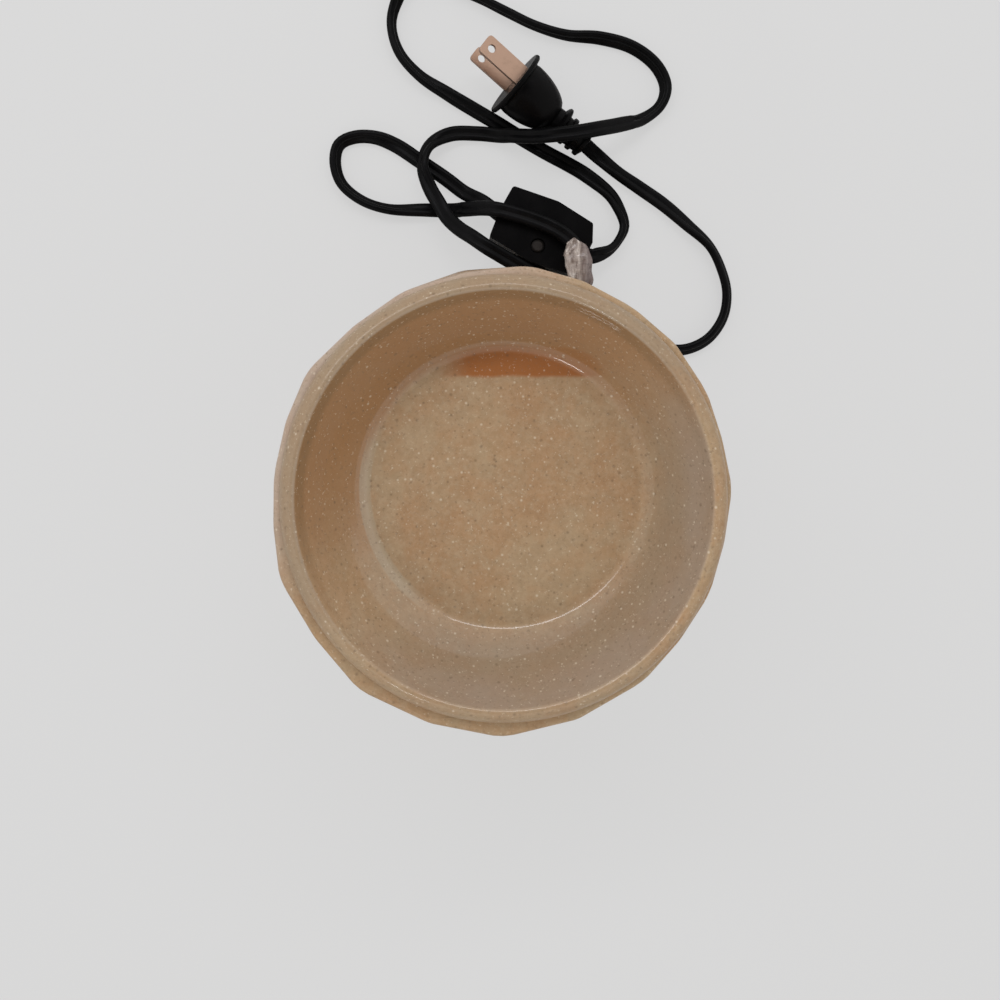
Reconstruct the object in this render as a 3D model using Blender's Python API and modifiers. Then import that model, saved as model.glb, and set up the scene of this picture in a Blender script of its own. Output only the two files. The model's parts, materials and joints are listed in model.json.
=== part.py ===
"""An electric wax warmer: a hollow ceramic pot with facets pressed into its wall, a lift-off wax
dish on top, a twist-in reflector bulb that warms the dish from below, and a flat lead with an
in-line thumbwheel switch and a plug.

Metres, +Z up. The origin is on the pot's axis, on the surface that the feet stand on. The lead
leaves the pot towards +Y, its back.
"""

import math

import bmesh
import bpy
from mathutils import Matrix, Vector

MM = 0.001
SEAT = 0.3 * MM  # left between two pieces that touch
THROUGH = 4.0 * MM  # how far a cutter runs past the wall that it cuts

# The pot
POT_TOP = 119.0 * MM
POT_LIFT = 1.6 * MM  # of its foot ring over the table
POT_FOOT_RADIUS = 51.0 * MM
POT_BELLY_RADIUS = 70.0 * MM
POT_BELLY_HEIGHT = 73.0 * MM
POT_MOUTH_RADIUS = 66.8 * MM  # to the corners of its top edge
POT_WALL = 3.4 * MM  # behind the middle of its flattest facets
POT_FLARE = 2.2  # how quickly the wall turns upright below the belly
POT_SHOULDER = 2.4  # and how late it turns in above it
POT_NECK = 6.0 * MM  # the upright stretch that guides the dish
FACET_ROWS = 5
FACET_FLAT = 0.94  # how far out the middle of a flat facet lies, as a share of the corners
# Where the corners stand, and how far out each of them reaches. The rows take turns between
# these corners and the ones half-way between them. The top edge has them all.
FACET_TURNS = (2.5, 28.0, 56.0, 84.0, 116.0, 147.0, 174.0, 200.0, 233.0, 270.0, 307.0, 335.0)
FACET_REACH = (0.972, 0.976, 0.982, 0.989, 0.982, 0.998, 0.984, 1.015, 1.024, 1.011, 0.98, 0.965)
FACET_REACH_BETWEEN = (1.0, 1.0, 1.0, 1.01, 0.98, 0.995, 1.0, 1.0, 1.0, 1.0, 0.995, 0.99)
FACET_EASE = 0.4  # how much of that unevenness the rows under the top edge keep
FACET_REACH_TOP = (0.962, 0.983, 0.986, 0.99, 0.972, 0.984, 0.988, 1.001, 1.005, 0.992, 0.961, 0.956)

# The dish
DISH_LIP_RADIUS = 62.6 * MM
DISH_HEIGHT = 125.0 * MM
DISH_MOUTH_RADIUS = 57.4 * MM  # inside the lip
DISH_FLOOR_RADIUS = 42.6 * MM
DISH_FLOOR_HEIGHT = 100.0 * MM
DISH_WALL = 4.0 * MM
DISH_LIP_DROP = 4.0 * MM  # from the crest to the turn of the mouth
DISH_NECK_RADIUS = 59.8 * MM
DISH_PLAY = 0.6 * MM  # round the neck, in the pot's opening
DISH_CORNER = 3.5 * MM

# The base plate, which closes the pot from below
PLATE_LOW = 3.2 * MM
PLATE_THICK = 2.2 * MM
PLATE_RADIUS = 46.0 * MM
PLATE_PLAY = 0.4 * MM
LEDGE_WIDTH = 2.0 * MM
LEDGE_THICK = 3.0 * MM
VENTS = 18
VENT_WIDTH = 2.4 * MM
VENT_IN = 24.0 * MM
VENT_OUT = 31.5 * MM
VENT_SKIP = 24.0  # degrees left without vents on each side of the lamp bracket and the lead

# The three base screws, each in an anchor in a boss of the pot
BOSS_AT = 39.6 * MM
BOSS_RADIUS = 4.6 * MM
BOSS_HEIGHT = 9.5 * MM
BOSS_ANGLES = {"back": 90.0, "left": 210.0, "right": 330.0}
ANCHOR_RADIUS = 2.9 * MM
ANCHOR_LENGTH = 7.6 * MM
SCREW_RADIUS = 1.2 * MM
SCREW_HEAD_RADIUS = 2.6 * MM
SCREW_HEAD_THICK = 1.6 * MM
SCREW_REACH = 5.4 * MM  # into its anchor

# The three rubber feet
FOOT_AT = 37.0 * MM
FOOT_RADIUS = 6.0 * MM
FOOT_STEM_RADIUS = 2.2 * MM
FOOT_BARB_RADIUS = 3.1 * MM
FOOT_BARB_LENGTH = 1.9 * MM
FOOT_ANGLES = {"foot_left": 150.0, "foot_right": 30.0, "foot_front": 270.0}

# The lead: two conductors side by side
LEAD_WIDTH = 6.0 * MM
LEAD_THICK = 2.9 * MM
LEAD_STEP = 38.0 * MM  # between the points of the tube where it runs straight
LEAD_TURN = 33.0  # degrees between them where it bends
LEAD_EXIT_ANGLE = 62.0  # degrees from +X
LEAD_EXIT_HEIGHT = 14.0 * MM
LEAD_INNER_END = 33.0 * MM  # from the axis
CORE_RADIUS = 1.15 * MM
CORE_DROP = 2.6 * MM  # the cores' middle below the bracket's top sheet

# The bushing where the lead leaves the pot
BUSHING_RADIUS = 4.7 * MM
BUSHING_FLANGE_RADIUS = 6.2 * MM
BUSHING_FLANGE_THICK = 1.6 * MM
BUSHING_SNAP_RADIUS = 5.6 * MM
BUSHING_SEAT = 54.4 * MM  # from the axis to the flat spot that its flange lies on
BUSHING_WALL = 3.2 * MM  # of the pot between the two spot faces
BUSHING_TAIL = 20.0 * MM
BUSHING_TAIL_START = 5.0 * MM
BUSHING_TAIL_END = 4.1 * MM
BUSHING_RIBS = 3

# The clamp that holds the lead on the base plate
CLAMP_AT = 37.6 * MM
CLAMP_LENGTH = 6.4 * MM
CLAMP_HALF_WIDTH = 10.0 * MM
CLAMP_SCREW_AT = 7.5 * MM
CLAMP_EAR = 2.2 * MM
CLAMP_CROWN = 1.8 * MM

# The lamp bracket and the lampholder
BRACKET_WIDTH = 18.0 * MM
BRACKET_SHEET = 1.0 * MM
BRACKET_TOP = 14.0 * MM
BRACKET_HALF_SPAN = 17.0 * MM
BRACKET_FOOT_END = 24.5 * MM
BRACKET_SCREW_AT = 20.8 * MM
BRACKET_HOLE = 7.4 * MM
NUT_RADIUS = 3.1 * MM
NUT_THICK = 2.2 * MM
HOLDER_RADIUS = 14.5 * MM
HOLDER_HEIGHT = 17.7 * MM
HOLDER_FLOOR = 8.7 * MM  # under the pin chambers
HOLDER_LIP = 3.3 * MM  # over them
HOLDER_SCREW_AT = 10.8 * MM
HOLDER_SCREW_RADIUS = 1.3 * MM
HOLDER_SCREW_HEAD = 2.2 * MM
HOLDER_SCREW_HEAD_THICK = 1.8 * MM
HOLDER_SCREW_SUNK = 2.7 * MM
HOLDER_SCREW_PAST = 2.0 * MM  # below the bracket's sheet

# The bulb, with two pins that twist and lock
PIN_SPACING = 10.0 * MM
PIN_RADIUS = 1.6 * MM
PIN_HEAD_RADIUS = 2.5 * MM
PIN_HEAD_THICK = 2.4 * MM
PIN_IN_BASE = 1.8 * MM
BULB_TWIST = 30.0  # degrees from locked to free
BULB_BASE_RADIUS = 12.5 * MM
BULB_BASE_HEIGHT = 14.7 * MM
BULB_NECK_RADIUS = 9.0 * MM
BULB_NECK_SUNK = 4.7 * MM
BULB_RIM_RADIUS = 25.2 * MM
BULB_LENGTH = 47.2 * MM  # from the base's underside to the rim
BULB_GLASS = 1.6 * MM
BULB_RIM_HEIGHT = 2.6 * MM
LENS_THICK = 1.9 * MM
CAPSULE_RADIUS = 5.2 * MM
CAPSULE_LENGTH = 27.0 * MM

# The in-line switch, in its own frame: +X is towards the plug's side of the lead
SWITCH_PLACE = Vector((20.9 * MM, 94.3 * MM, 0.2 * MM))
SWITCH_TURN = -25.2
SWITCH_HEIGHT = 15.0 * MM
SWITCH_LEFT = 19.4 * MM
SWITCH_LEFT_CORNER = 18.6 * MM
SWITCH_RIGHT = 18.8 * MM
SWITCH_RIGHT_CORNER = 15.8 * MM
SWITCH_NOSE = 4.1 * MM  # half the width of its tapered end
SWITCH_HALF_WIDTH = 13.0 * MM  # at the middle
SWITCH_END_HALF_WIDTH = 11.0 * MM
SWITCH_ROUND = 1.2 * MM
SWITCH_EDGE = 1.0 * MM
SWITCH_SOCKET = 5.0 * MM  # how far the lead runs into each end
SWITCH_SPLAY = 14.0  # degrees that the lead turns away from the long axis at both ends
SWITCH_CAVITY_WALL = 2.0 * MM
WHEEL_OFF = -6.1 * MM
WHEEL_RADIUS = 9.4 * MM
WHEEL_THICK = 5.0 * MM
WHEEL_RIBS = 24
WHEEL_RIB_DEPTH = 0.7 * MM
WHEEL_GAP = 0.5 * MM
WHEEL_PLAY = 0.1 * MM  # round the screw
SWITCH_SCREW_RADIUS = 1.3 * MM
SWITCH_SCREW_HEAD = 2.6 * MM
SWITCH_SCREW_HEAD_THICK = 1.0 * MM
SWITCH_NUT_RADIUS = 2.8 * MM
CONTACT_SHEET = 0.6 * MM
CONTACT_HEIGHT = 3.2 * MM

# The wrapper round the lead
WRAP_START = 50.0 * MM  # along the lead from its cut end
WRAP_LENGTH = 18.0 * MM
WRAP_WIDTH = 9.8 * MM
WRAP_ABOVE = 3.6 * MM  # over the lead's middle, and under it
WRAP_BELOW = 2.7 * MM
WRAP_SIDES = 12

# The plug, in its own frame: +X runs from the blades to the lead
PLUG_PLACE = Vector((9.9 * MM, 153.3 * MM, 14.1 * MM))
PLUG_TURN = -38.0
PLUG_DIP = 14.3  # degrees that its tail hangs down
PLUG_ROLL = -8.0
PLUG_FLANGE_RADIUS = 13.75 * MM
PLUG_FLANGE_THICK = 2.0 * MM
PLUG_BODY_RADIUS = 9.0 * MM
PLUG_BODY_LENGTH = 20.0 * MM
PLUG_TAIL_RADIUS = 5.0 * MM
PLUG_TAIL_END_RADIUS = 4.2 * MM
PLUG_LENGTH = 38.0 * MM
PLUG_RIBS = 3
PLUG_RIB_RISE = 0.8 * MM
PLUG_COLLAR_RADIUS = 7.4 * MM
PLUG_COLLAR_AT = 3.9 * MM  # behind the body
PLUG_SOCKET = 22.0 * MM  # how far the lead runs into the tail
BLADE_SPACING = 12.7 * MM
BLADE_THICK = 1.5 * MM
BLADE_LENGTH = 19.2 * MM
BLADE_ROOT = 7.5 * MM
BLADE_WIDTHS = {"plug_blade_upper": 7.9 * MM, "plug_blade_lower": 6.35 * MM}
BLADE_HOLE_RADIUS = 1.6 * MM
BLADE_HOLE_FROM_TIP = 3.8 * MM

# The lead's route: x, y and z in millimetres, then how far it stands on its edge, from 0 to 1
ROUTE_TO_SWITCH = (
    (35.9, 74.8, 16.9, 0.0), (34.9, 79.3, 18.5, 0.0), (33.9, 84.3, 18.7, 0.0),
    (31.7, 89.1, 18.7, 0.0), (27.7, 92.9, 18.5, 0.0), (22.3, 96.0, 18.1, 0.0),
    (16.8, 98.3, 17.8, 0.0), (11.3, 100.1, 17.6, 0.0), (2.5, 102.4, 17.6, 0.0),
    (-3.5, 103.7, 13.6, 0.0), (-9.7, 104.5, 7.4, 0.0), (-17.2, 105.1, 3.2, 0.1),
    (-26.7, 105.2, 2.16, 0.3), (-40.1, 105.4, 2.76, 0.6), (-50.9, 108.7, 2.91, 0.8),
    (-59.2, 115.3, 3.02, 0.9), (-62.1, 123.7, 3.02, 0.9), (-60.6, 131.2, 2.91, 0.8),
    (-54.2, 134.4, 2.76, 0.6), (-45.7, 134.2, 2.62, 0.5), (-37.2, 130.9, 1.92, 0.2),
    (-27.7, 124.7, 1.6, 0.0), (-18.2, 118.3, 1.8, 0.0), (-11.1, 112.9, 3.2, 0.0),
    (-4.3, 108.6, 6, 0.0),
)
ROUTE_TO_PLUG = (
    (47.9, 87.9, 6, 0.5), (52.3, 92.5, 4.2, 0.9), (54.1, 98.9, 3.06, 1.0),
    (51.9, 105.9, 3.06, 1.0), (47.1, 112.1, 2.62, 0.5), (38.7, 119.5, 1.51, 0.0),
    (31.3, 123.9, 1.51, 0.0), (22.3, 128.7, 1.51, 0.0), (12.7, 134.3, 1.51, 0.0),
    (3.3, 140.6, 1.92, 0.2), (-6.9, 146.6, 2.42, 0.4), (-17.0, 152.9, 2.76, 0.6),
    (-27.4, 160.4, 2.91, 0.8), (-35.5, 169.5, 3.02, 0.9), (-38.9, 180.6, 3.4, 0.9),
    (-36.2, 191.0, 5.6, 0.6), (-29.0, 202.0, 7.8, 0.2), (-18.0, 213.5, 5.8, 0.2),
    (-5.0, 226.0, 2.76, 0.6), (4.0, 240.0, 3.02, 0.9), (5.5, 257.0, 3.06, 1.0),
    (-3.5, 272.0, 3.06, 1.0), (-20.0, 281.5, 3.06, 1.0), (-39.0, 281.0, 3.06, 1.0),
    (-55.5, 271.5, 3.06, 1.0), (-64.5, 255.0, 3.06, 1.0), (-64.0, 236.0, 3.02, 0.9),
    (-55.0, 219.0, 2.62, 0.5), (-42.5, 207.5, 1.73, 0.1), (-29.5, 200.5, 1.51, 0.0),
    (-16.0, 195.6, 2.42, 0.4), (-3.7, 190.6, 2.91, 0.8), (7.3, 185.1, 2.91, 0.8),
    (18.8, 179.8, 2.91, 0.8), (31.0, 175.9, 2.91, 0.8), (44.3, 174.2, 3.02, 0.9),
    (56.8, 170.7, 3.06, 1.0), (66.3, 163.7, 3.06, 1.0), (70.6, 154.9, 3.06, 1.0),
    (68.3, 146.9, 3.02, 0.9), (60.8, 141.3, 4.6, 0.4), (51.3, 137.5, 9.6, 0.0),
    (42.3, 134.4, 15.4, 0.0), (33.3, 132.4, 17.2, 0.0), (24.3, 131.7, 16.4, 0.0),
    (15.3, 132.6, 10.8, 0.0), (5.8, 134.6, 5.4, 0.0), (-4.7, 135.8, 3.4, 0.2),
    (-15.2, 135.1, 4.6, 0.2), (-23.7, 130.4, 5.6, 0.7), (-26.4, 122.2, 6.6, 0.8),
    (-24.0, 113.5, 6.8, 0.4), (-20.7, 106.4, 7.4, 0.0), (-17.0, 100.9, 9, 0.0),
    (-12.1, 96.3, 12, 0.0), (-6.6, 92.2, 15.8, 0.0), (-1.2, 88.2, 17.4, 0.0),
    (6.7, 83.1, 16.3, 0.0), (13.7, 79.2, 14.9, 0.0), (21.3, 75.8, 10.8, 0.0),
    (27.9, 72.5, 5.4, 0.0), (34.3, 68.7, 1.8, 0.1), (45.3, 62.7, 2.42, 0.4),
    (56.8, 54.7, 2.62, 0.5), (66.8, 49.9, 2.76, 0.6), (77.8, 48.9, 2.91, 0.8),
    (87.8, 52.9, 3.06, 1.0), (94.5, 61.1, 3.06, 1.0), (96.5, 71.3, 3.06, 1.0),
    (94.3, 81.3, 3.06, 1.0), (88.3, 90.7, 2.91, 0.8), (79.5, 99.1, 2.42, 0.4),
    (69.8, 106.9, 1.92, 0.2), (60.1, 113.7, 2.2, 0.1), (50.3, 120.5, 3, 0.1),
)

MATERIALS = {
    "glazed_ceramic": ((0.50, 0.38, 0.27), 0.22, 0.0),
    "black_plastic": ((0.012, 0.012, 0.013), 0.38, 0.0),
    "black_lead": ((0.010, 0.010, 0.011), 0.30, 0.0),
    "rubber": ((0.03, 0.03, 0.03), 0.75, 0.0),
    "brass": ((0.72, 0.52, 0.34), 0.28, 1.0),
    "steel": ((0.55, 0.55, 0.56), 0.35, 1.0),
    "steatite": ((0.80, 0.78, 0.72), 0.55, 0.0),
    "glass": ((0.90, 0.92, 0.93), 0.05, 0.0),
    "reflector": ((0.85, 0.85, 0.87), 0.12, 1.0),
    "wrapper": ((0.62, 0.58, 0.56), 0.35, 0.0),
    "nylon": ((0.75, 0.74, 0.70), 0.5, 0.0),
}


# Helpers

def clear_scene():
    for item in list(bpy.data.objects):
        bpy.data.objects.remove(item, do_unlink=True)


def collection(name):
    made = bpy.data.collections.new(name)
    bpy.context.scene.collection.children.link(made)
    return made


def material(name):
    """The Principled material of that name, made once and shared."""
    if name in bpy.data.materials:
        return bpy.data.materials[name]
    colour, roughness, metallic = MATERIALS[name]
    made = bpy.data.materials.new(name)
    made.use_nodes = True
    shader = made.node_tree.nodes["Principled BSDF"]
    shader.inputs["Base Color"].default_value = (*colour, 1.0)
    shader.inputs["Roughness"].default_value = roughness
    shader.inputs["Metallic"].default_value = metallic
    return made


def polar(radius, angle, height=0.0):
    turn = math.radians(angle)
    return Vector((radius * math.cos(turn), radius * math.sin(turn), height))


def rounded(corners, steps=3):
    """The outline through corners (x, y, radius), each replaced by an arc of its radius."""
    points = []
    for i, (x, y, radius) in enumerate(corners):
        here = Vector((x, y))
        if radius <= 0:
            points.append(here)
            continue
        back = (Vector(corners[i - 1][:2]) - here).normalized()
        ahead = (Vector(corners[(i + 1) % len(corners)][:2]) - here).normalized()
        half = back.angle(ahead) / 2
        start = here + back * radius / math.tan(half)
        centre = here + (back + ahead).normalized() * radius / math.sin(half)
        end = here + ahead * radius / math.tan(half)
        sweep = (start - centre).angle_signed(end - centre)
        for k in range(steps + 1):
            arm = start - centre
            arm.rotate(Matrix.Rotation(-sweep * k / steps, 2))
            points.append(centre + arm)
    return [(p.x, p.y) for p in points]


def circle(radius, x=0.0, y=0.0, count=24):
    turns = [2 * math.pi * k / count for k in range(count)]
    return [(x + radius * math.cos(a), y + radius * math.sin(a)) for a in turns]


def arc_slot(radius, half_width, start, end, steps=6):
    """A slot with round ends that follows an arc about the axis, from start to end degrees."""
    outline = []
    for k in range(steps + 1):
        outline.append(polar(radius + half_width, start + (end - start) * k / steps).xy)
    tip = polar(radius, end)
    for k in range(1, steps):
        outline.append((tip + polar(half_width, end + 180 * k / steps)).xy)
    for k in range(steps + 1):
        outline.append(polar(radius - half_width, end - (end - start) * k / steps).xy)
    tip = polar(radius, start)
    for k in range(1, steps):
        outline.append((tip + polar(half_width, start + 180 + 180 * k / steps)).xy)
    return [tuple(p) for p in outline]


def settle(item, name, finish=None, parent=None, place=None, smooth=35.0):
    """Names an object, puts it in its collection and frame, and gives it its material."""
    item.name = name
    item.data.name = name
    home = PARTS if finish else CUTTERS
    home.objects.link(item)
    if finish:
        item.data.materials.append(material(finish))
    else:
        item.hide_render = True
        item.display_type = "WIRE"
    if parent:
        item.parent = parent
    if place:
        item.matrix_basis = place
    if smooth and item.type == "MESH":
        item.data.shade_smooth()
        item.data.set_sharp_from_angle(angle=math.radians(smooth))
    return item


def turned(name, profile, finish=None, segments=32, **frame):
    """A profile of (radius, height) points, turned about Z. It runs down its outer side."""
    mesh = bpy.data.meshes.new(name)
    shape = bmesh.new()
    points = [shape.verts.new((r, 0.0, z)) for r, z in profile]
    for a, b in zip(points, points[1:]):
        shape.edges.new((a, b))
    if profile[0][0] > 0:
        shape.edges.new((points[-1], points[0]))
    shape.to_mesh(mesh)
    shape.free()
    item = settle(bpy.data.objects.new(name, mesh), name, finish, smooth=None, **frame)
    screw = item.modifiers.new("Turn", "SCREW")
    screw.steps = screw.render_steps = segments
    screw.use_merge_vertices = True
    screw.merge_threshold = 0.00001
    return item


def evaluated(item):
    bpy.context.view_layer.update()
    graph = bpy.context.evaluated_depsgraph_get()
    return bpy.data.meshes.new_from_object(item.evaluated_get(graph), depsgraph=graph)


def slab(name, outlines, low, high, finish=None, rim=0.0, smooth=35.0, **frame):
    """Flat outlines, the first one outside and the rest holes, made solid from low to high.
    rim bevels the edge round its upper face if it is over 0, and the lower one if it is under."""
    curve = bpy.data.curves.new(name, "CURVE")
    curve.dimensions = "2D"
    curve.fill_mode = "BOTH"
    curve.extrude = (high - low) / 2
    for outline in outlines:
        line = curve.splines.new("POLY")
        line.points.add(len(outline) - 1)
        for point, (x, y) in zip(line.points, outline):
            point.co = (x, y, 0.0, 1.0)
        line.use_cyclic_u = True
    flat = bpy.data.objects.new(name, curve)
    bpy.context.scene.collection.objects.link(flat)
    mesh = evaluated(flat)
    bpy.data.objects.remove(flat)
    shape = bmesh.new()
    shape.from_mesh(mesh)
    bmesh.ops.remove_doubles(shape, verts=shape.verts, dist=0.000001)
    bmesh.ops.translate(shape, verts=shape.verts, vec=(0.0, 0.0, (low + high) / 2))
    if rim:
        level = high if rim > 0 else low
        edges = [
            e for e in shape.edges
            if all(abs(v.co.z - level) < 0.00001 for v in e.verts)
            and any(abs(f.normal.z) < 0.5 for f in e.link_faces)
        ]
        bmesh.ops.bevel(shape, geom=edges, offset=abs(rim), segments=2, profile=0.5,
                        affect="EDGES", material=-1, clamp_overlap=True)
    bmesh.ops.recalc_face_normals(shape, faces=shape.faces)
    shape.to_mesh(mesh)
    shape.free()
    return settle(bpy.data.objects.new(name, mesh), name, finish, smooth=smooth, **frame)


def box(name, low, high, finish=None, **frame):
    mesh = bpy.data.meshes.new(name)
    shape = bmesh.new()
    bmesh.ops.create_cube(shape, size=1.0)
    size = [b - a for a, b in zip(low, high)]
    middle = [(a + b) / 2 for a, b in zip(low, high)]
    bmesh.ops.scale(shape, verts=shape.verts, vec=size)
    bmesh.ops.translate(shape, verts=shape.verts, vec=middle)
    shape.to_mesh(mesh)
    shape.free()
    return settle(bpy.data.objects.new(name, mesh), name, finish, smooth=None, **frame)


def rod(name, radius, low, high, x=0.0, y=0.0, finish=None, segments=24, **frame):
    mesh = bpy.data.meshes.new(name)
    shape = bmesh.new()
    bmesh.ops.create_cone(
        shape, cap_ends=True, segments=segments, radius1=radius, radius2=radius,
        depth=high - low, matrix=Matrix.Translation((x, y, (low + high) / 2)),
    )
    shape.to_mesh(mesh)
    shape.free()
    return settle(bpy.data.objects.new(name, mesh), name, finish, **frame)


def boolean(item, other, operation):
    step = item.modifiers.new(other.name, "BOOLEAN")
    step.operation = operation
    step.solver = "EXACT"
    step.object = other


def cut(item, *others):
    for other in others:
        boolean(item, other, "DIFFERENCE")


def join(item, *others):
    for other in others:
        boolean(item, other, "UNION")


def copies(names, source, places, finish):
    """One finished piece, placed several times under names of its own."""
    mesh = evaluated(source)
    bpy.data.objects.remove(source)
    for name, place in zip(names, places):
        settle(bpy.data.objects.new(name, mesh.copy()), name, finish, place=place, smooth=None)


def frame_at(name, place):
    """An empty that carries the pieces of a sub-assembly."""
    empty = bpy.data.objects.new(name, None)
    PARTS.objects.link(empty)
    empty.matrix_world = place
    bpy.context.view_layer.update()
    return empty


def screw_profile(shank, head, head_thick, tip, seat, top_head=True):
    """A pan-head screw about Z, its head's bearing face at height seat, its end at tip."""
    if top_head:
        crown = seat + head_thick
        return [(0, crown), (head * 0.7, crown), (head, seat + head_thick * 0.5), (head, seat),
                (shank, seat), (shank, tip), (0, tip)]
    crown = seat - head_thick
    return [(0, tip), (shank, tip), (shank, seat), (head, seat),
            (head, seat - head_thick * 0.5), (head * 0.7, crown), (0, crown)]


def smooth_route(points, step, turn=360.0):
    """Points on the smooth curve through the given ones, closer together where it bends. They
    are at most a step apart, and at most that turn apart in degrees."""
    fine = []
    padded = [points[0] * 2 - points[1], *points, points[-1] * 2 - points[-2]]
    for a, b, c, d in zip(padded, padded[1:], padded[2:], padded[3:]):
        for k in range(20):
            t = k / 20
            fine.append(0.5 * (2 * b + (c - a) * t + (2 * a - 5 * b + 4 * c - d) * t * t
                               + (3 * b - a - 3 * c + d) * t ** 3))
    fine.append(points[-1])
    weight, length = [0.0], 0.0
    for i, (a, b) in enumerate(zip(fine, fine[1:])):
        piece = (b - a).xyz
        length += piece.length
        bend = piece.angle((a - fine[i - 1]).xyz, 0.0) if i else 0.0
        weight.append(weight[-1] + piece.length / step + math.degrees(bend) / turn)
    count = max(2, math.ceil(weight[-1]))
    spread, at = [], 0
    for k in range(count + 1):
        goal = weight[-1] * k / count
        while at < len(fine) - 2 and weight[at + 1] < goal:
            at += 1
        share = (goal - weight[at]) / max(weight[at + 1] - weight[at], 1e-9)
        spread.append(fine[at].lerp(fine[at + 1], min(share, 1.0)))
    return spread, length


# The lead

def lead_outline():
    """The lead's cross-section: two round conductors with a groove between them."""
    wide = LEAD_WIDTH / 2
    high = LEAD_THICK / 2
    right = [(wide, 0.0), (wide - high * 0.29, high * 0.72), (wide - high, high),
             (0.0, high * 0.7)]
    top = right + [(-x, y) for x, y in reversed(right[:-1])]
    return top + [(-x, -y) for x, y in top[1:-1]]


def lying_height(edge):
    """How high the lead's middle is where it lies on the table, turned that far on its edge."""
    turn = edge * math.pi / 2
    return max(abs(x) * math.sin(turn) + abs(y) * math.cos(turn) for x, y in lead_outline())


def lead_section():
    outline = lead_outline()
    curve = bpy.data.curves.new("lead_section", "CURVE")
    curve.dimensions = "2D"
    curve.fill_mode = "NONE"
    line = curve.splines.new("POLY")
    line.points.add(len(outline) - 1)
    for point, (x, y) in zip(line.points, reversed(outline)):
        point.co = (x, y, 0.0, 1.0)
    line.use_cyclic_u = True
    item = bpy.data.objects.new("lead_section", curve)
    CUTTERS.objects.link(item)
    item.hide_render = True
    item.display_type = "WIRE"
    return item


def flat_lead(name, head, route, tail, section):
    """The flat lead through points of (x, y, z, edge). It runs straight from point to point in
    its head and tail, and smoothly between them."""
    middle, length = smooth_route([head[-1], *route, tail[0]], LEAD_STEP, LEAD_TURN)
    points = head[:-1] + middle + tail[1:]
    length += (head[0] - head[-1]).length + (tail[0] - tail[-1]).length
    for at in points:
        at.z = max(at.z, lying_height(at.w))
    curve = bpy.data.curves.new(name, "CURVE")
    curve.dimensions = "3D"
    curve.twist_mode = "Z_UP"
    curve.bevel_mode = "OBJECT"
    curve.bevel_object = section
    curve.use_fill_caps = True
    line = curve.splines.new("POLY")
    line.points.add(len(points) - 1)
    for point, at in zip(line.points, points):
        point.co = (*at.xyz, 1.0)
        point.tilt = at.w * math.pi / 2
    settle(bpy.data.objects.new(name, curve), name, "black_lead")
    print(f"{name}: {length:.4f} m in {len(points)} points")
    return points


def switch_end(side):
    """The frame, in the switch's own, where the lead enters its left (-1) or right (1) end."""
    reach = SWITCH_LEFT if side < 0 else SWITCH_RIGHT
    return (Matrix.Translation((side * reach, 0.0, SWITCH_HEIGHT / 2))
            @ Matrix.Rotation(math.radians(side * SWITCH_SPLAY), 4, "Z"))


def route_vector(x, y, z, edge):
    return Vector((x * MM, y * MM, z * MM, edge))


def flat_vector(point):
    return Vector((*point, 0.0))


def make_lead(switch, plug):
    """Makes both stretches of the lead. Returns the points of the first one."""
    section = lead_section()
    end = BUSHING_SEAT + BUSHING_FLANGE_THICK + BUSHING_TAIL + 2 * MM
    head = [flat_vector(polar(r, LEAD_EXIT_ANGLE, LEAD_EXIT_HEIGHT))
            for r in (LEAD_INNER_END, end)]
    out = 3 * MM
    tail = [flat_vector(switch @ switch_end(-1) @ Vector((-x, 0.0, 0.0)))
            for x in (out, -SWITCH_SOCKET)]
    route = [route_vector(*p) for p in ROUTE_TO_SWITCH]
    first = flat_lead("cord_to_switch", head, route, tail, section)
    head = [flat_vector(switch @ switch_end(1) @ Vector((x, 0.0, 0.0)))
            for x in (-SWITCH_SOCKET, out)]
    tail = [flat_vector(plug @ Vector((x, 0.0, 0.0)))
            for x in (PLUG_LENGTH + out, PLUG_LENGTH - PLUG_SOCKET)]
    route = [route_vector(*p) for p in ROUTE_TO_PLUG]
    flat_lead("cord_to_plug", head, route, tail, section)
    return first


# The pot

def pot_radius(height):
    """The radius to the corners of the facets at a height."""
    if height < POT_BELLY_HEIGHT:
        up = (height - POT_LIFT) / (POT_BELLY_HEIGHT - POT_LIFT)
        return POT_FOOT_RADIUS + (POT_BELLY_RADIUS - POT_FOOT_RADIUS) * (
            1 - (1 - up) ** POT_FLARE)
    up = (height - POT_BELLY_HEIGHT) / (POT_TOP - POT_BELLY_HEIGHT)
    return POT_BELLY_RADIUS - (POT_BELLY_RADIUS - POT_MOUTH_RADIUS) * up ** POT_SHOULDER


def pot_inside(height):
    """The radius of the pot's cavity, a wall inside its flattest facets."""
    return pot_radius(height) * FACET_FLAT - POT_WALL


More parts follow.
